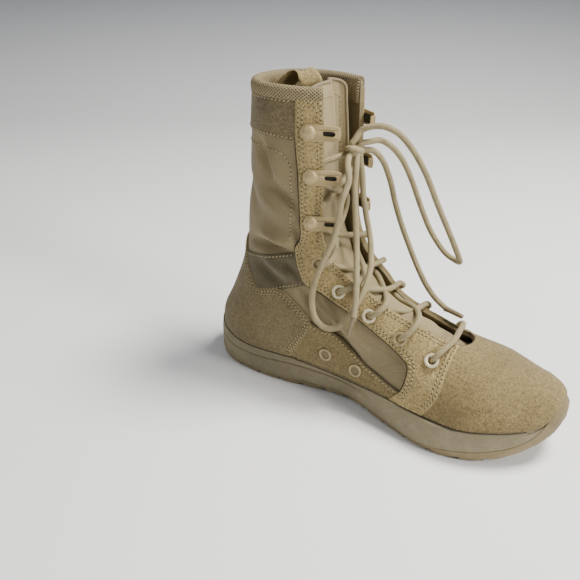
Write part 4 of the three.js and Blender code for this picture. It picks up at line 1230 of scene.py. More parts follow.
def soleBody(name, x, heights, lowerAt=None, columns=15):
    # Both walls, the underside and the top, closed at both ends.
    inner, outer = sideWalls(x, heights)
    parts = [inner, outer]
    middle = np.interp(x / boot["soleLength"], [0.05, 0.3, 0.92], [0, 0.03, 0.08]) * boot["ballWidth"]
    for row, lower in ((0, lowerAt), (-1, None)):
        low, high = inner[:, row], outer[:, row]
        width = high[:, 1] - low[:, 1]
        gap = np.minimum(soleLook["lugGap"] / 2, 0.1 * width)
        at = np.clip(middle, low[:, 1] + 0.2 * width, high[:, 1] - 0.2 * width)
        flank = np.minimum(soleLook["lugFlank"], 0.02 * width)
        share = np.linspace(0, 1, columns)[None, :]
        left = low[:, 1:2] + (at - gap - flank - low[:, 1])[:, None] * share
        right = (at + gap + flank)[:, None] + (high[:, 1] - at - gap - flank)[:, None] * share
        y = np.column_stack([left, at - gap, at + gap, right])
        across = np.clip((y - low[:, 1:2]) / np.maximum(width, 0.5)[:, None], 0, 1)
        across[:, 0] = 0
        across[:, -1] = 1
        sheet = low[:, None] + (high - low)[:, None] * across[..., None]
        if lower:
            inMiddle = np.abs(y - at[:, None]) <= gap[:, None] + 1e-6
            sheet[..., 2] = lower(sheet[..., 0], inMiddle, sheet[..., 2])
        parts.append(sheet)
    points, faces, start = [], [], 0
    for part in parts:
        index = start + numbered(*part.shape[:2])
        faces += gridFaces(index)
        points.append(part.reshape(-1, 3))
        start += index.size
    return closeUp(meshFrom(name, np.concatenate(points), faces, sharp=38))


def crossGroove(x):
    groove = np.zeros_like(x)
    pitch = soleLook["lugPitch"]
    half = soleLook["lugGap"] / 2
    for at in np.arange(pitch, 0.9 * boot["soleLength"], pitch):
        inside = np.clip((half + soleLook["lugFlank"] - np.abs(x - at)) / soleLook["lugFlank"], 0, 1)
        groove = np.maximum(groove, inside)
    return groove


def makeSole():
    length = boot["soleLength"]
    even = length / 2 * (1 - np.cos(np.linspace(0, math.pi, soleLook["stations"])))
    edges = [
        at + side * (soleLook["lugGap"] / 2 + flank)
        for at in np.arange(soleLook["lugPitch"], 0.9 * length, soleLook["lugPitch"])
        for side in (-1, 1)
        for flank in (0, soleLook["lugFlank"])
    ]
    stations = np.unique(np.concatenate([even, edges]))
    split = np.minimum(soleHeight(3, stations), topLine(stations))
    floor = treadLevel(stations) + soleLook["lugDepth"] * crossGroove(stations)
    shares = (0, 0.08, 0.2, 0.38, 0.6, 0.8, 0.92, 1)
    heights = [floor + (split - floor) * share for share in shares]

    def lowerAt(x, inMiddle, z):
        runs = (x > soleLook["firstLug"] * length) & (x < soleLook["lastLug"] * length) & inMiddle
        deep = treadLevel(x) + soleLook["lugDepth"]
        return np.where(runs, np.minimum(np.maximum(z, deep), soleHeight(3, x) - 0.5), z)

    mesh = soleBody("rubber_outsole", stations, heights, lowerAt)
    addPiece("rubber_outsole", mesh, outsoleRubber, ["outsole"])
    low = soleHeight(3, stations) + soleLook["seam"]
    kept = stations[low < topLine(stations) - 0.2]
    low = soleHeight(3, kept) + soleLook["seam"]
    top = topLine(kept)
    belowTop = (11.8, 11.2, 10.8, 10.3, 9.8, 9.4, 8.8, 6.0, 3.0, 1.4, 0.7, 0.3, 0.0)
    heights = [low, low + (top - low) * 0.1]
    heights += [
        np.maximum(top - drop, low + (top - low) * (0.2 + 0.06 * k)) for k, drop in enumerate(belowTop)
    ]
    heights = [np.minimum(height, top) for height in heights]
    mesh = soleBody("foam_midsole", kept, heights)
    addPiece("foam_midsole", mesh, midsoleFoam, ["midsole"])


# Cuff, tongue, insole and pull loop
# Depth below the collar along the wall, and height over the form, round the cuff.
cuffProfile = [
    (6.6, 0.3), (6.5, 1.3), (5.4, 1.9), (3.0, 2.2), (0.8, 2.2), (-1.2, 1.6), (-2.5, 0.3), (-2.9, -1.3),
    (-2.3, -3.2), (-0.6, -4.7), (2.5, -5.3), (6.5, -5.4), (11.0, -5.2), (14.5, -4.9), (16.6, -4.2),
    (17.0, -3.2), (16.6, -2.4), (10.0, -2.3), (3.0, -2.3), (-0.4, -2.3), (-0.4, 0.1), (3.0, 0.2),
]
tongueLook = {
    "thickness": 2.4, "depth": 5.2, "overlap": 7.0, "top": -0.06, "arch": 0.2,
    "piping": 1.25, "pleatEdge": 0.72,
}


def placeAtLevel(turn, z):
    # Where along the sections the form has a height, near the collar.
    places = np.linspace(-0.4, 1.2, 60)
    levels = lastPoint(places[:, None], turn[None, :])[..., 2]
    return np.array([np.interp(-want, -levels[:, k], places) for k, want in enumerate(z)])


def makeCuff():
    throat = float(frontTurn(0.0, throatHalf(0.0))) - 0.012
    turns = np.linspace(-throat, throat, 300)
    collar = collarLevel(lastPoint(np.zeros_like(turns), turns)[:, 0])
    profile = np.array(cuffProfile)
    steps = np.linspace(0, len(profile), 4 * len(profile), endpoint=False)
    low = np.floor(steps).astype(int)
    after = (low + 1) % len(profile)
    part = (steps - low)[:, None]
    dense = profile[low] + (profile[after] - profile[low]) * part
    dense = 0.5 * dense + 0.25 * (np.roll(dense, 1, axis=0) + np.roll(dense, -1, axis=0))
    ends = 1 - 0.25 * np.exp(-((throat - np.abs(turns)) / 0.03))
    rings = []
    for depth, height in dense:
        places = placeAtLevel(turns, collar - depth)
        lift = -1.1 + (height + 1.1) * ends
        rings.append(onBoot(places, turns, lift)[0])
    rings = np.stack(rings, axis=1)
    around = lengthsAlong(rings[:, 0:1])[:, 0]
    across = lengthsAlong(rings[len(turns) // 2])
    uv = np.stack(np.broadcast_arrays(around[:, None], across[None, :]), axis=-1) / 1000.0
    addPiece("mesh_cuff", ringLoft("mesh_cuff", rings, uv, sharp=60), cuffMesh, ["collar_cuff"])


def frontTurn(place, across):
    place, across = np.broadcast_arrays(np.asarray(place, dtype=float), np.asarray(across, dtype=float))
    inner = across < 0
    half = np.where(inner, through(sections[:, 5], place), through(sections[:, 6], place))
    half = half * boot["ballWidth"] + through(sections[:, 7], place) * boot["shaftWidth"]
    fullness = np.where(inner, through(sections[:, 10], place), through(sections[:, 11], place))
    share = np.minimum(np.abs(across) / half, 1)
    return np.where(inner, -1, 1) * (math.pi - np.arcsin(share ** (fullness / 2)))


def sectionRun(place):
    run = lastPoint(place, math.pi) - lastPoint(place, 0)
    run[..., 1] = 0
    return unit(run)


def tonguePoint(place, share, depth):
    place, share = np.broadcast_arrays(np.asarray(place, dtype=float), np.asarray(share, dtype=float))
    reach = throatHalf(place) + tongueLook["overlap"]
    turn = frontTurn(place, share * reach)
    run = sectionRun(place)
    edge = lastPoint(place, frontTurn(place, np.where(share < 0, -1, 1) * reach))
    point = lastPoint(place, turn)
    rise = ((point - edge) * run).sum(axis=-1)
    flat = np.clip(0.75 - 0.07 * place, 0.2, 0.75)
    point = point - lastNormal(place, turn) * tongueLook["depth"]
    return point - run * (flat * rise + depth)[..., None]


# The pleat's parts: height in millimetres, and for the humps how far past the fold they lie and
# their width, in shares of the tongue's half width.
pleatStep = 1.4
pleatHumps = [(1.1, -0.04, 0.09), (-3.2, 0.2, 0.16)]
pleatOuter = {"height": 4.2, "width": 0.07}
# Where it fades out and where the tongue dips under the vamp, in sections.
pleatFade = (1.3, 2.6)
tongueDip = {"from": 8.6, "to": 9.6, "depth": 2.5}


def tongueSurface(place, share, depth):
    # The tongue's face with its pleat: the inner part stands forward, beside it a deep fold.
    fold = 0.16 + 0.1 * place
    pleat = pleatStep * (1 - smoothStep(share, fold - 0.05, fold + 0.1))
    for height, past, width in pleatHumps:
        pleat = pleat + height * hump(share, fold + past, width)
    pleat = pleat + pleatOuter["height"] * hump(share, tongueLook["pleatEdge"], pleatOuter["width"])
    lift = (1 - smoothStep(place, *pleatFade)) * pleat
    lift = lift - tongueDip["depth"] * smoothStep(place, tongueDip["from"], tongueDip["to"])
    wave = 0.5 * np.sin(place * 5.0 + 2.0 * share) * smoothStep(place, 1.5, 3.0) * (1 - share ** 2)
    return tonguePoint(place, share, depth - lift - wave)


def tonguePlaces(row, share):
    top = tongueLook["top"] + tongueLook["arch"] * share ** 4
    return top + (throatEnd + 0.25 - top) * row


def tongueLine(rows, shares, depth):
    return [tongueSurface(tonguePlaces(row, share), share, depth) for row, share in zip(rows, shares)]


def makeTongue():
    rows = np.linspace(0, 1, 190)[:, None]
    shares = np.linspace(-1, 1, 64)[None, :]
    places = tonguePlaces(rows, shares)
    shares = np.broadcast_to(shares, places.shape)
    rim = np.minimum((1 - np.abs(shares)) * 30.0, rows * 270.0)
    roll = 0.9 * (1 - np.clip(rim / 2.0, 0, 1)) ** 2
    top = tongueSurface(places, shares, roll)
    bottom = tongueSurface(places, shares, tongueLook["thickness"] - roll)
    across = lengthsAlong(top, axis=1)
    down = lengthsAlong(top, axis=0)
    uv = np.stack([across - across[:, 32:33], down], axis=-1) / 1000.0
    mesh = gridSheet("tongue_cloth", top, bottom, uv, sharp=60)
    addPiece("tongue_cloth", mesh, tongueCloth, ["tongue"])
    route = tongueLine(np.linspace(0.42, 0, 60), [-1.0] * 60, 1.2)
    pleat = tongueLook["pleatEdge"]
    route += tongueLine([0.0] * 60, np.linspace(-0.98, pleat, 60), 0.9)
    route += tongueLine(np.linspace(0.004, 0.2, 30), [pleat] * 30, 0.3)
    line = smoothLine(np.array(route)[::3], 1.0)
    mesh = tubeMesh("tongue_piping", line, tongueLook["piping"], sides=10, repeat=1000.0)
    addPiece("tongue_piping", mesh, pipingCloth)
    seam = tongueLine(np.linspace(0.02, 0.2, 60), [pleat - 0.12] * 60, -0.05)
    stitchLines.append((np.array(seam), sectionRun(np.linspace(0, 2, 60))))
    arch = tongueLine([0.018] * 60, np.linspace(-0.93, 0.6, 60), -0.05)
    stitchLines.append((np.array(arch), sectionRun(np.zeros(60))))


def settle(obj):
    # Turns an object with modifiers into its plain, smooth mesh.
    shown = obj.evaluated_get(bpy.context.evaluated_depsgraph_get())
    mesh = bpy.data.meshes.new_from_object(shown)
    obj.modifiers.clear()
    obj.data = mesh
    smoothAll(mesh)


def makeInsole():
    # The footbed: the solid's shape with its edges softened.
    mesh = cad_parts["insole"].data.copy()
    mesh.name = "footbed"
    closeUp(mesh)
    obj = addPiece("footbed", mesh, insoleCloth, ["insole"])
    remesh = obj.modifiers.new("even", "REMESH")
    remesh.mode = "VOXEL"
    remesh.voxel_size = 0.0016
    smooth = obj.modifiers.new("soften", "SMOOTH")
    smooth.iterations = 4
    settle(obj)
    wear(obj.data, insoleCloth)


# Columns: x, y and z from the loop's foot, and how far it has turned, in strip widths and degrees.
loopRows = np.array([
    [0, 0, 0, 90],
    [0, 0, 0.7, 90],
    [0.35, 0.05, 1.45, 80],
    [0.95, 0.2, 2.2, 65],
    [1.5, 0.3, 2.5, 55],
    [1.9, 0.35, 2.1, 50],
    [1.75, 0.35, 1.4, 55],
    [1.2, 0.25, 0.75, 70],
    [0.6, 0.1, 0.3, 85],
])
pullLoop = {"width": 17.0, "thickness": 1.7, "place": 0.7, "turn": 0.1, "inside": 4.46}


def makePullLoop():
    seat = pullLoop["place"], pullLoop["turn"]
    foot = lastPoint(*seat) - lastNormal(*seat) * (boot["wall"] + pullLoop["inside"])
    line = smoothLine(foot + loopRows[:, :3] * pullLoop["width"], 1.1)
    count = len(line)
    spot = np.linspace(0, len(loopRows) - 1, count)
    turn = np.radians(np.interp(spot, np.arange(len(loopRows)), loopRows[:, 3]))
    run = unit(np.gradient(line, axis=0))
    wide = np.stack([np.cos(turn), np.sin(turn), np.zeros(count)], axis=1)
    wide = unit(wide - run * (wide * run).sum(axis=1, keepdims=True))
    thick = np.cross(run, wide)
    shares = np.linspace(-1, 1, 13)
    half = pullLoop["width"] / 2
    rounded = np.clip(1 - (np.abs(shares) - 0.88).clip(0) ** 2 / 0.0145, 0.05, 1)
    edge = pullLoop["thickness"] / 2 * np.sqrt(rounded)
    rings = []
    for k in range(count):
        frayed = half * (1 + 0.02 * math.sin(k * 0.9) + 0.015 * math.sin(k * 2.3))
        cup = 0.5 * (shares ** 2 - 0.5) * math.sin(math.pi * k / count)
        upper = line[k] + wide[k] * (shares * frayed)[:, None] + thick[k] * (edge + cup)[:, None]
        lower = line[k] + wide[k] * (shares * frayed)[:, None] + thick[k] * (cup - edge)[:, None]
        rings.append(np.concatenate([upper, lower[::-1]]))
    rings = np.array(rings)
    uv = np.zeros(rings.shape[:2] + (2,))
    mesh = ringLoft("pull_loop_suede", rings, uv, sharp=70)
    addPiece("pull_loop_suede", mesh, suedeLoop, ["pull_loop"])


makeSole()
makeCuff()
makeTongue()
makeInsole()
makePullLoop()
print("sole, cuff, tongue, insole and pull loop made")


# Geometry node trees
def newTree(name, inputs):
    # A node tree whose inputs are given as names and kinds.
    tree = bpy.data.node_groups.new(name, "GeometryNodeTree")
    for way in ("INPUT", "OUTPUT"):
        tree.interface.new_socket("Geometry", in_out=way, socket_type="NodeSocketGeometry")
    for label, kind in inputs.items():
        tree.interface.new_socket(label, in_out="INPUT", socket_type=f"NodeSocket{kind}")
    return tree, tree.nodes.new("NodeGroupInput").outputs, tree.nodes.new("NodeGroupOutput")


def nodeOf(tree, kind, inputs=None, output=0, **values):
    # One output of a new node, with the node's settings made and its inputs fed.
    node = tree.nodes.new(kind)
    for key, value in values.items():
        setattr(node, key, value)
    for key, value in (inputs or {}).items():
        feed(tree, node.inputs[key], value)
    return node.outputs[output]


def runTree(obj, tree, values):
    modifier = obj.modifiers.new(tree.name, "NODES")
    modifier.node_group = tree
    for item in tree.interface.items_tree:
        if item.item_type == "SOCKET" and item.in_out == "INPUT" and item.name in values:
            modifier[item.identifier] = values[item.name]
    settle(obj)


def turnTo(tree, first, firstAxis, second, secondAxis):
    # A rotation whose one axis follows the first direction and another leans to the second.
    kind = "FunctionNodeAlignRotationToVector"
    one = nodeOf(tree, kind, {"Vector": first}, axis=firstAxis)
    return nodeOf(tree, kind, {"Rotation": one, "Vector": second}, axis=secondAxis, pivot_axis=firstAxis)


def namedVector(tree, name):
    kind = "GeometryNodeInputNamedAttribute"
    return nodeOf(tree, kind, {"Name": name}, "Attribute", data_type="FLOAT_VECTOR")


def setOut(tree, instances, material):
    # Instances as real geometry with a material.
    real = nodeOf(tree, "GeometryNodeRealizeInstances", {0: instances})
    return nodeOf(tree, "GeometryNodeSetMaterial", {"Geometry": real, "Material": material})


def pointsWith(name, points, edges, vectors):
    mesh = bpy.data.meshes.new(name)
    mesh.from_pydata(toScene(points).tolist(), edges, [])
    for key, values in vectors.items():
        layer = mesh.attributes.new(key, "FLOAT_VECTOR", "POINT")
        layer.data.foreach_set("vector", np.asarray(values, dtype=np.float32).ravel())
    return newObject(name, mesh)


# Stitches: thick thread laid in slanted stitches, and between each two a dark spot of painted shade in the
# needle hole.
stitch = {
    "pitch": 3.2, "length": 2.7, "width": 1.1, "height": 1.1, "hole": 0.95, "holeDepth": 0.35,
    "slant": 20.0, "uneven": 0.08, "seed": 4,
}


def stitchTree():
    lengths = ("Pitch", "Length", "Width", "Height", "Slant", "Hole")
    inputs = dict.fromkeys(lengths, "Float") | {"Seed": "Int", "Thread": "Material", "Dark": "Material"}
    tree, given, end = newTree("seamStitches", inputs)
    curve = nodeOf(tree, "GeometryNodeMeshToCurve", {0: given["Geometry"]})
    halfPitch = mathOf(tree, "MULTIPLY", given["Pitch"], 0.5)
    even = nodeOf(tree, "GeometryNodeResampleCurve", {"Curve": curve, "Length": halfPitch}, mode="LENGTH")
    odd = mathOf(tree, "MODULO", nodeOf(tree, "GeometryNodeInputIndex"), 2.0)
    evenOnes = mathOf(tree, "LESS_THAN", odd, 0.5)
    tangent = nodeOf(tree, "GeometryNodeInputTangent")
    rotation = turnTo(tree, tangent, "X", namedVector(tree, "outward"), "Z")
    ball = nodeOf(tree, "GeometryNodeMeshUVSphere", {"Segments": 6, "Rings": 5, "Radius": 0.5})
    joined = tree.nodes.new("GeometryNodeJoinGeometry")
    thread = (given["Length"], given["Width"], given["Height"])
    hole = (given["Hole"], given["Hole"], stitch["holeDepth"] / 1000)
    # The holes are flat dark spots of painted shade.
    for sizes, chosen, material in ((thread, evenOnes, "Thread"), (hole, odd, "Dark")):
        size = nodeOf(tree, "ShaderNodeCombineXYZ", dict(enumerate(sizes)))
        placed = {"Points": even, "Selection": chosen, "Instance": ball, "Rotation": rotation, "Scale": size}
        result = nodeOf(tree, "GeometryNodeInstanceOnPoints", placed)
        if sizes is thread:
            spread = {2: -stitch["uneven"], 3: stitch["uneven"], "Seed": given["Seed"]}
            uneven = nodeOf(tree, "FunctionNodeRandomValue", spread, 1, data_type="FLOAT")
            angle = mathOf(tree, "ADD", uneven, given["Slant"])
            about = nodeOf(tree, "ShaderNodeCombineXYZ", {2: angle})
            turned = {"Instances": result, "Rotation": about}
            result = nodeOf(tree, "GeometryNodeRotateInstances", turned)
        tree.links.new(setOut(tree, result, given[material]), joined.inputs[0])
    tree.links.new(joined.outputs[0], end.inputs[0])
    return tree


def makeStitches():
    points, outward, edges = [], [], []
    for line, normal in stitchLines:
        first = len(points)
        points.extend(line.tolist())
        outward.extend(normal.tolist())
        edges.extend((k, k + 1) for k in range(first, len(points) - 1))
    obj = pointsWith("seam_stitches", points, edges, {"outward": outward})
    values = {key.capitalize(): stitch[key] / 1000 for key in ("pitch", "length", "width", "height", "hole")}
    values |= {"Slant": math.radians(stitch["slant"]), "Seed": stitch["seed"]}
    runTree(obj, stitchTree(), values | {"Thread": threadMaterial, "Dark": shadowBlack})
    enter(obj)


# Eyelets, vents and hooks: place along the sections and turn from the front.
eyeletRows = [(2.93, 2.14), (4.44, 2.3), (5.95, 2.44), (7.68, 2.41), (9.12, 2.41)]
hookRows = [(0.45, 2.09), (1.06, 2.13), (1.85, 2.1)]
ventRows = [(6.95, 1.77), (7.99, 1.75)]
eyeletProfile = [
    (2.8, -3.8), (3.3, -3.8), (3.3, 2.4), (5.3, 2.4), (5.32, 2.7), (5.1, 3.2), (4.6, 3.5), (4.0, 3.55),
    (3.4, 3.35), (3.0, 2.9), (2.8, 2.2),
]
ventProfile = [
    (3.6, 0.6), (3.8, 1.5), (5.2, 1.5), (5.35, 1.9), (5.2, 2.4), (4.7, 2.7), (4.1, 2.65), (3.7, 2.3),
    (3.5, 1.7),
]
screenProfile = [(0, 1.0), (3.7, 1.0), (3.7, 1.7), (0, 2.1)]
domeProfile = [
    (0, 2.4), (4.8, 2.4), (4.85, 3.3), (4.7, 3.9), (4.3, 4.5), (3.6, 5.1), (2.6, 5.6), (1.4, 5.9), (0, 6.0),
]
# Millimetres from the rivet: the plate's ends, its width and metal, how high it lies, its rounded edge
# and corners, the slot's half width and how far its ends lie from the front, and the curl.
hookLook = {
    "rear": -5.8, "front": 21.2, "width": 11.0, "metal": 1.1, "base": 2.4, "bevel": 0.25, "corner": 3.2,
    "slot": 1.9, "slotEnds": (10.4, 4.9), "curl": 4.5, "curlDrop": 1.3,
}


def lathe(profile, sides=32):
    profile = np.array(profile, dtype=float)
    turn = np.arange(sides) * 2 * math.pi / sides
    rings = np.stack([
        profile[:, 0:1] * np.cos(turn), profile[:, 0:1] * np.sin(turn),
        np.broadcast_to(profile[:, 1:2], (len(profile), sides)),
    ], axis=-1)
    index = numbered(len(profile), sides)
    faces = gridFaces(index, around=True)
    if profile[0, 0] > 0:
        faces += gridFaces(np.stack([index[-1], index[0]]), around=True)
    return rings.reshape(-1, 3), faces


def localMesh(name, parts):
    # Joins lathed and flat parts, in millimetres round their own seat.
    shape = bmesh.new()
    for points, faces in parts:
        verts = [shape.verts.new(Vector(point) / 1000.0) for point in points]
        for face in faces:
            corners = [verts[k] for k in dict.fromkeys(face)]
            if len({tuple(v.co) for v in corners}) > 2:
                try:
                    shape.faces.new(corners)
                except ValueError:
                    continue
    bmesh.ops.remove_doubles(shape, verts=shape.verts, dist=1e-6)
    bmesh.ops.dissolve_degenerate(shape, edges=shape.edges, dist=1e-7)
    bmesh.ops.recalc_face_normals(shape, faces=shape.faces)
    mesh = bpy.data.meshes.new(name)
    shape.to_mesh(mesh)
    shape.free()
    return mesh


def arc(x, y, radius, start, end, count):
    return [(x + radius * math.cos(a), y + radius * math.sin(a)) for a in np.linspace(start, end, count)]


def hookPlate():
    # A flat curve with its slot, filled and given rounded edges.
    data = bpy.data.curves.new("hookPlate", "CURVE")
    data.dimensions = "2D"
    data.fill_mode = "BOTH"
    data.extrude = (hookLook["metal"] / 2 - hookLook["bevel"]) / 1000
    data.bevel_depth = hookLook["bevel"] / 1000
    data.bevel_resolution = 2
    radius = hookLook["width"] / 2
    front = hookLook["front"]
    rear = hookLook["rear"] + radius
    quarter = math.pi / 2
    corner = hookLook["corner"]
    inset = 0.9 * radius - corner
    outline = arc(rear, 0, radius, 1.65, 4.63, 20)
    outline += arc(front - corner, -inset, corner, -quarter, 0, 8)
    outline += arc(front - corner, inset, corner, 0, quarter, 8)
    first, second = hookLook["slotEnds"]
    slot = arc(front - first, 0, hookLook["slot"], quarter, 3 * quarter, 10)
    slot += arc(front - second, 0, hookLook["slot"], -quarter, quarter, 10)
    for ring in (outline, slot):
        spline = data.splines.new("POLY")
        spline.points.add(len(ring) - 1)
        for point, (x, y) in zip(spline.points, ring):
            point.co = (x / 1000, y / 1000, 0, 1)
        spline.use_cyclic_u = True
    obj = newObject("hookPlate", data)
    shown = obj.evaluated_get(bpy.context.evaluated_depsgraph_get())
    mesh = bpy.data.meshes.new_from_object(shown)
    points = np.array([v.co for v in mesh.vertices]) * 1000
    points[:, 2] += hookLook["base"] + hookLook["metal"] / 2
    curl = np.clip((points[:, 0] - front) / hookLook["curl"] + 1, 0, 1)
    points[:, 2] -= hookLook["curlDrop"] * curl ** 2
    faces = [list(p.vertices) for p in mesh.polygons]
    bpy.data.objects.remove(obj)
    return points.tolist(), faces


def hookLip():
    front = hookLook["front"]
    half = 0.32 * hookLook["width"]
    rings = []
    for z, x in ((2.5, front - 0.9), (1.2, front - 0.6), (0.0, front - 0.8), (-1.4, front - 1.3)):
        rings.append([(x - 0.5, -half, z), (x + 0.5, -half, z), (x + 0.5, half, z), (x - 0.5, half, z)])
    return ringsAndEnds(rings)


def hookInside():
    # The leaf folded back under the slot, near black as painted shade.
    front = hookLook["front"]
    near, far, half = front - 12.6, front - 2.0, 3.4
    corners = ((near, -half), (far, -half), (far, half), (near, half))
    return ringsAndEnds([[(x, y, z) for x, y in corners] for z in (0.6, 1.1)])


def seatTree():
    tree, given, end = newTree("seatedFittings", {"Fitting": "Object", "Finish": "Material"})
    fitting = nodeOf(tree, "GeometryNodeObjectInfo", {"Object": given["Fitting"]}, "Geometry")
    rotation = turnTo(tree, namedVector(tree, "outward"), "Z", namedVector(tree, "forward"), "X")
    placed = {"Points": given["Geometry"], "Instance": fitting, "Rotation": rotation}
    instances = nodeOf(tree, "GeometryNodeInstanceOnPoints", placed)
    tree.links.new(setOut(tree, instances, given["Finish"]), end.inputs[0])
    return tree


def seatedSet(name, fittingMesh, rows, sides, material, nodes):
    seats, outward, forward = [], [], []
    for side in sides:
        for place, turn in rows:
            spot = lastPoint(place, side * turn)
            normal = lastNormal(place, side * turn)
            ahead = lastPoint(place, side * (turn + 0.1)) - spot
            ahead = unit(ahead - normal * np.dot(ahead, normal))
            for kept, value in ((seats, spot), (outward, normal), (forward, ahead)):
                kept.append(value)
    fitting = newObject(f"{name}_one", fittingMesh)
    obj = pointsWith(name, seats, [], {"outward": outward, "forward": forward})
    runTree(obj, fittingTree, {"Fitting": fitting, "Finish": material})
    obj.data.set_sharp_from_angle(angle=math.radians(35))
    bpy.data.objects.remove(fitting)
    enter(obj, nodes)


def makeFittings():
    both = (-1, 1)
    labels = ("inner", "outer")
    for name, chosen, material in (("cream", (1, 2, 4), eyeletPaint), ("tan", (0, 3), tanPaint)):
        seatedSet(
            f"eyelet_rings_{name}", localMesh("eyelet", [lathe(eyeletProfile, 36)]),
            [eyeletRows[k] for k in chosen], both, material,
            [f"eyelet_{label}_{k + 1}" for label in labels for k in chosen],
        )
    seatedSet(
        "vent_rings", localMesh("vent", [lathe(ventProfile, 32)]), ventRows, (-1,), tanPaint,
        ["vent_1", "vent_2"],
    )
    seatedSet(
        "hook_insides", localMesh("inside", [hookInside()]), hookRows, both, slotShadow, [],
    )
    seatedSet(
        "vent_screens", localMesh("screen", [lathe(screenProfile, 24)]), ventRows, (-1,), screenDark,
        [],
    )
    seatedSet(
        "lace_hooks", localMesh("hook", [hookPlate(), lathe(domeProfile, 36), hookLip()]), hookRows, both,
        hookPaint, [f"hook_{label}_{k + 1}" for label in labels for k in range(3)],
    )


# Laces
# Heights over the form or the tongue, how far crossing strands part, and the room beside the throat.
laceLook = {
    "overEyelet": 6.0, "overEdge": 5.1, "inside": -5.2, "overTongue": 4.6, "crossing": 2.4, "room": 3.15,
}


laceStep = 0.9  # millimetres between the rings of the lace


def farShare(place):
    return 1 - laceLook["room"] / throatHalf(place)


def tonguePlace(place, share, over):
    reach = throatHalf(place) + tongueLook["overlap"]
    point = tongueSurface(place, share * throatHalf(place) / reach, 0.0)
    return point + sectionRun(place) * over


def throughEyelet(row, side, upwards):
    place, turn = eyeletRows[row]
    heights = [laceLook["inside"], -1.5, 3.0, laceLook["overEyelet"]]
    shifts = [0.0, 0.0, 0.02, 0.11]
    points = [onBoot(place, side * (turn + shift), height)[0] for height, shift in zip(heights, shifts)]
    return points if upwards else points[::-1]


def edgePlace(place, side):
    return onBoot(place, frontTurn(place, side * throatHalf(place)), laceLook["overEdge"])[0]


def strandRoute(side):
    # From the middle of the lowest bar up to the knot, crossing the throat at each step.
    over = laceLook["overTongue"]
    last = len(eyeletRows) - 1
    low = eyeletRows[last][0]
    middle = (edgePlace(low, -1) + edgePlace(low, 1)) / 2 + sectionRun(low) * 1.2
    route = [middle, edgePlace(low, side)] + throughEyelet(last, side, False)
    crossing = laceLook["crossing"]
    for row in range(last - 1, -1, -1):
        place = eyeletRows[row][0]
        before = eyeletRows[row + 1][0]
        turn = (eyeletRows[row][1] + eyeletRows[row + 1][1]) / 2
        if row == last - 1:
            route.append(onBoot((place + before) / 2, side * turn, laceLook["inside"] - 1.5)[0])
        route += throughEyelet(row, side, True)
        nextPlace = eyeletRows[row - 1][0] if row else hookRows[2][0]
        climb = nextPlace - place
        lift = crossing if (row % 2 == 0) == (side > 0) else -crossing * 0.6
        route.append(edgePlace(place + 0.12 * climb, side))
        route.append(tonguePlace(place + 0.5 * climb, 0.0, over + lift))
        share = -side * farShare(nextPlace)
        route.append(tonguePlace(place + 0.82 * climb, share, over * 0.75))
        side = -side
        if row:
            nextTurn = side * (eyeletRows[row - 1][1] + 0.14)
            route.append(onBoot(nextPlace - 0.03 * climb, nextTurn, laceLook["inside"] - 1.0)[0])
    for row in (2, 1):
        place = hookRows[row][0]
        beside = side * (farShare(place) + 0.04)
        route.append(tonguePlace(place, beside, 4.4))
        route.append(tonguePlace(place - 0.13, side * farShare(place), 4.0))
        if row == 2:
            half = (hookRows[2][0] + hookRows[1][0]) / 2
            lift = crossing if side > 0 else -crossing * 0.4
            route.append(tonguePlace(half, 0.0, over + lift))
            side = -side
            route.append(tonguePlace(hookRows[1][0] + 0.14, side * farShare(hookRows[1][0]), 4.0))
    return route, side


# Middle, radii and rise of the wrap in millimetres, its tilt in degrees and how often it goes round.
# Cords that start or end within its reach go into the knot.
knotLook = {
    "middle": (122.0, 0.0, 199.0), "radii": (4.0, 6.0), "tilt": -24.0, "rise": 3.2, "turns": 1.55,
    "reach": 14.0,
}


def knotLine():
    # The wrap of the knot: a turn and a half round the cords that leave it.
    turns = np.linspace(-0.28, knotLook["turns"] - 0.28, 60)
    angle = turns * 2 * math.pi
    grow = 1 + 0.22 * turns
    x = knotLook["radii"][0] * np.cos(angle) * grow
    y = knotLook["radii"][1] * np.sin(angle) * grow
    z = (turns - knotLook["turns"] / 2) * knotLook["rise"] + np.sin(math.radians(knotLook["tilt"])) * y
    return np.stack([x, y, z], axis=1) + np.array(knotLook["middle"])


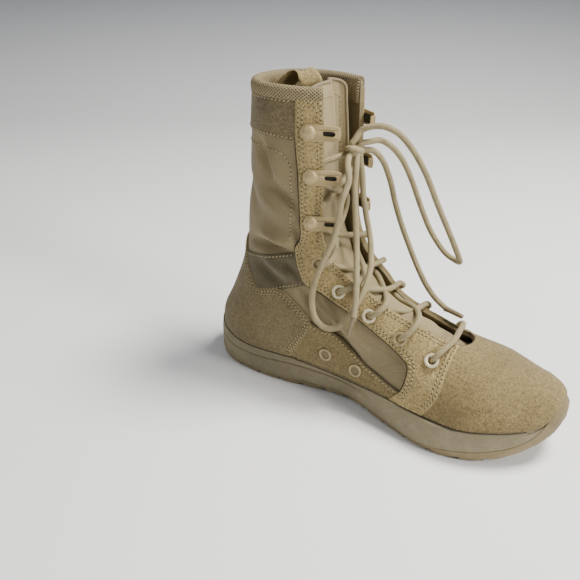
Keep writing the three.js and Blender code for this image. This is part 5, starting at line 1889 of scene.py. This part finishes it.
# Where the loops and ends run, and the aglets after them.
cordRoutes = {
    "loop_outer": [
        (121.3, 0.3, 205.5), (124, 5, 212), (129, 7, 215), (138, 11, 216), (147, 16, 212),
        (156, 21, 202), (167, 26, 184), (178, 32, 158), (188, 37, 136), (194, 42, 120),
        (195, 48, 111), (189, 55, 108), (179, 58, 111), (166, 56, 127), (157, 52, 147),
        (149, 46, 170), (143, 38, 187), (138, 28, 198), (133, 18, 204), (128, 8, 204),
    ],
    "loop_inner": [
        (122.3, -8.2, 196.8), (127.1, -18.5, 193.5), (132.6, -26, 184.8), (131.3, -32.6, 172.5),
        (128.5, -31.5, 156), (126.5, -35.4, 140.2), (121.5, -41.3, 123.4), (117.5, -44.2, 106.5),
        (115.9, -43.5, 91), (119.9, -44.5, 80), (127.8, -43.5, 74), (136.8, -41.5, 76),
        (143.8, -39.5, 85), (148.8, -35.6, 96), (151, -28, 107), (149, -16, 119), (143, -5, 128),
        (138, 1, 138), (134, 3, 148), (130, 3, 166), (128, 3, 182), (126, 3, 191),
    ],
    "end_inner": [
        (126.2, -3.8, 195.6), (129, -9, 187), (130, -12, 178), (132, -14, 167), (136, -17, 144),
        (143, -27, 122), (149, -37, 104), (151, -43, 90),
    ],
    "end_outer": [
        (126.6, 6.9, 198.6), (131, 13, 197), (135.5, 20, 189), (140, 27, 172), (143.5, 31, 155),
        (149, 33.5, 138), (156.5, 35, 121), (165.5, 34.5, 105), (176, 30, 93.5), (186, 27, 85.5),
        (196.2, 25.5, 79.8),
    ],
}
agletRows = {
    "aglet_inner": [(151.2, -43.8, 88.4), (148, -43.5, 73)],
    "aglet_outer": [(197.2, 25.3, 79.6), (211, 23, 78.2)],
}


def joinedTubes(name, lines, radius, sides=14):
    shape = bmesh.new()
    for line in lines:
        part = tubeMesh("part", line, radius, sides)
        shape.from_mesh(part)
        bpy.data.meshes.remove(part)
    mesh = bpy.data.meshes.new(name)
    shape.to_mesh(mesh)
    shape.free()
    return mesh


def knotMesh(radius):
    # The wrap, and the cords' first millimetres inside it, as one mesh.
    middle = np.array(knotLook["middle"])
    lines = [knotLine()]
    for rows in cordRoutes.values():
        for start, after in ((rows[0], rows[1]), (rows[-1], rows[-2])):
            if math.dist(start, middle) > knotLook["reach"]:
                continue
            start, after = np.array(start, dtype=float), np.array(after, dtype=float)
            run = unit(after - start)
            inner = middle + (start - middle) * 0.25
            lines.append(smoothLine([inner, start - run * 3.0, start, start + run * 0.8], 0.8))
    return joinedTubes("knot_wrap", lines, radius)


def makeEdgeShadows():
    # Painted shadow: thin dark lines where the suede lies on other parts, over the sole and down the throat.
    lines = [smoothLine(points, 1.6) for points, _ in shadowLines]
    addPiece("suede_edges", joinedTubes("suede_edges", lines, 0.45, 6), shadowBlack, [])


def makeLaces():
    radius = boot["lace"] / 2
    behind = np.array(knotLook["middle"]) + np.array((-4.8 - radius, 0, -2.0))
    toKnot = []
    for start in (-1, 1):
        route, side = strandRoute(start)
        toKnot.append(route + [behind + (2.0, side * 5.0, -1.0), behind + (4.0, side * 1.5, 0.5)])
    line = smoothLine(toKnot[0][::-1] + toKnot[1][1:], laceStep)
    nodes = ["lace_bar", "lace_top"] + [f"lace_cross_{k + 1}" for k in range(5)]
    addPiece("lacing", tubeMesh("lacing", line, radius), laceBraid, nodes)
    # The knot is tied in the outer loop's cord.
    onCord = {"loop_outer": [addPiece("knot_wrap", knotMesh(radius), laceBraid, ["knot"])]}
    for name, rows in agletRows.items():
        start, end = np.array(rows)
        line = smoothLine([start - unit(end - start) * 2.0, end], 0.8)
        taper = np.interp(np.linspace(0, 1, len(line)), [0, 0.12, 0.2, 0.93, 1], [2.35, 2.35, 2.05, 1.9, 1.4])
        tip = addPiece(f"{name}_tip", tubeMesh(f"{name}_tip", line, taper), agletPlastic, [name])
        onCord[name.replace("aglet", "end")] = [tip]
    for name, rows in cordRoutes.items():
        line = smoothLine(rows, laceStep)
        obj = addPiece(f"{name}_cord", tubeMesh(f"{name}_cord", line, radius), laceBraid, [name])
        path = toScene(line)
        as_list(onCord.get(name, []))


fittingTree = seatTree()
makeFittings()
makeLaces()
makeEdgeShadows()
makeStitches()
print("fittings, laces and stitches made")
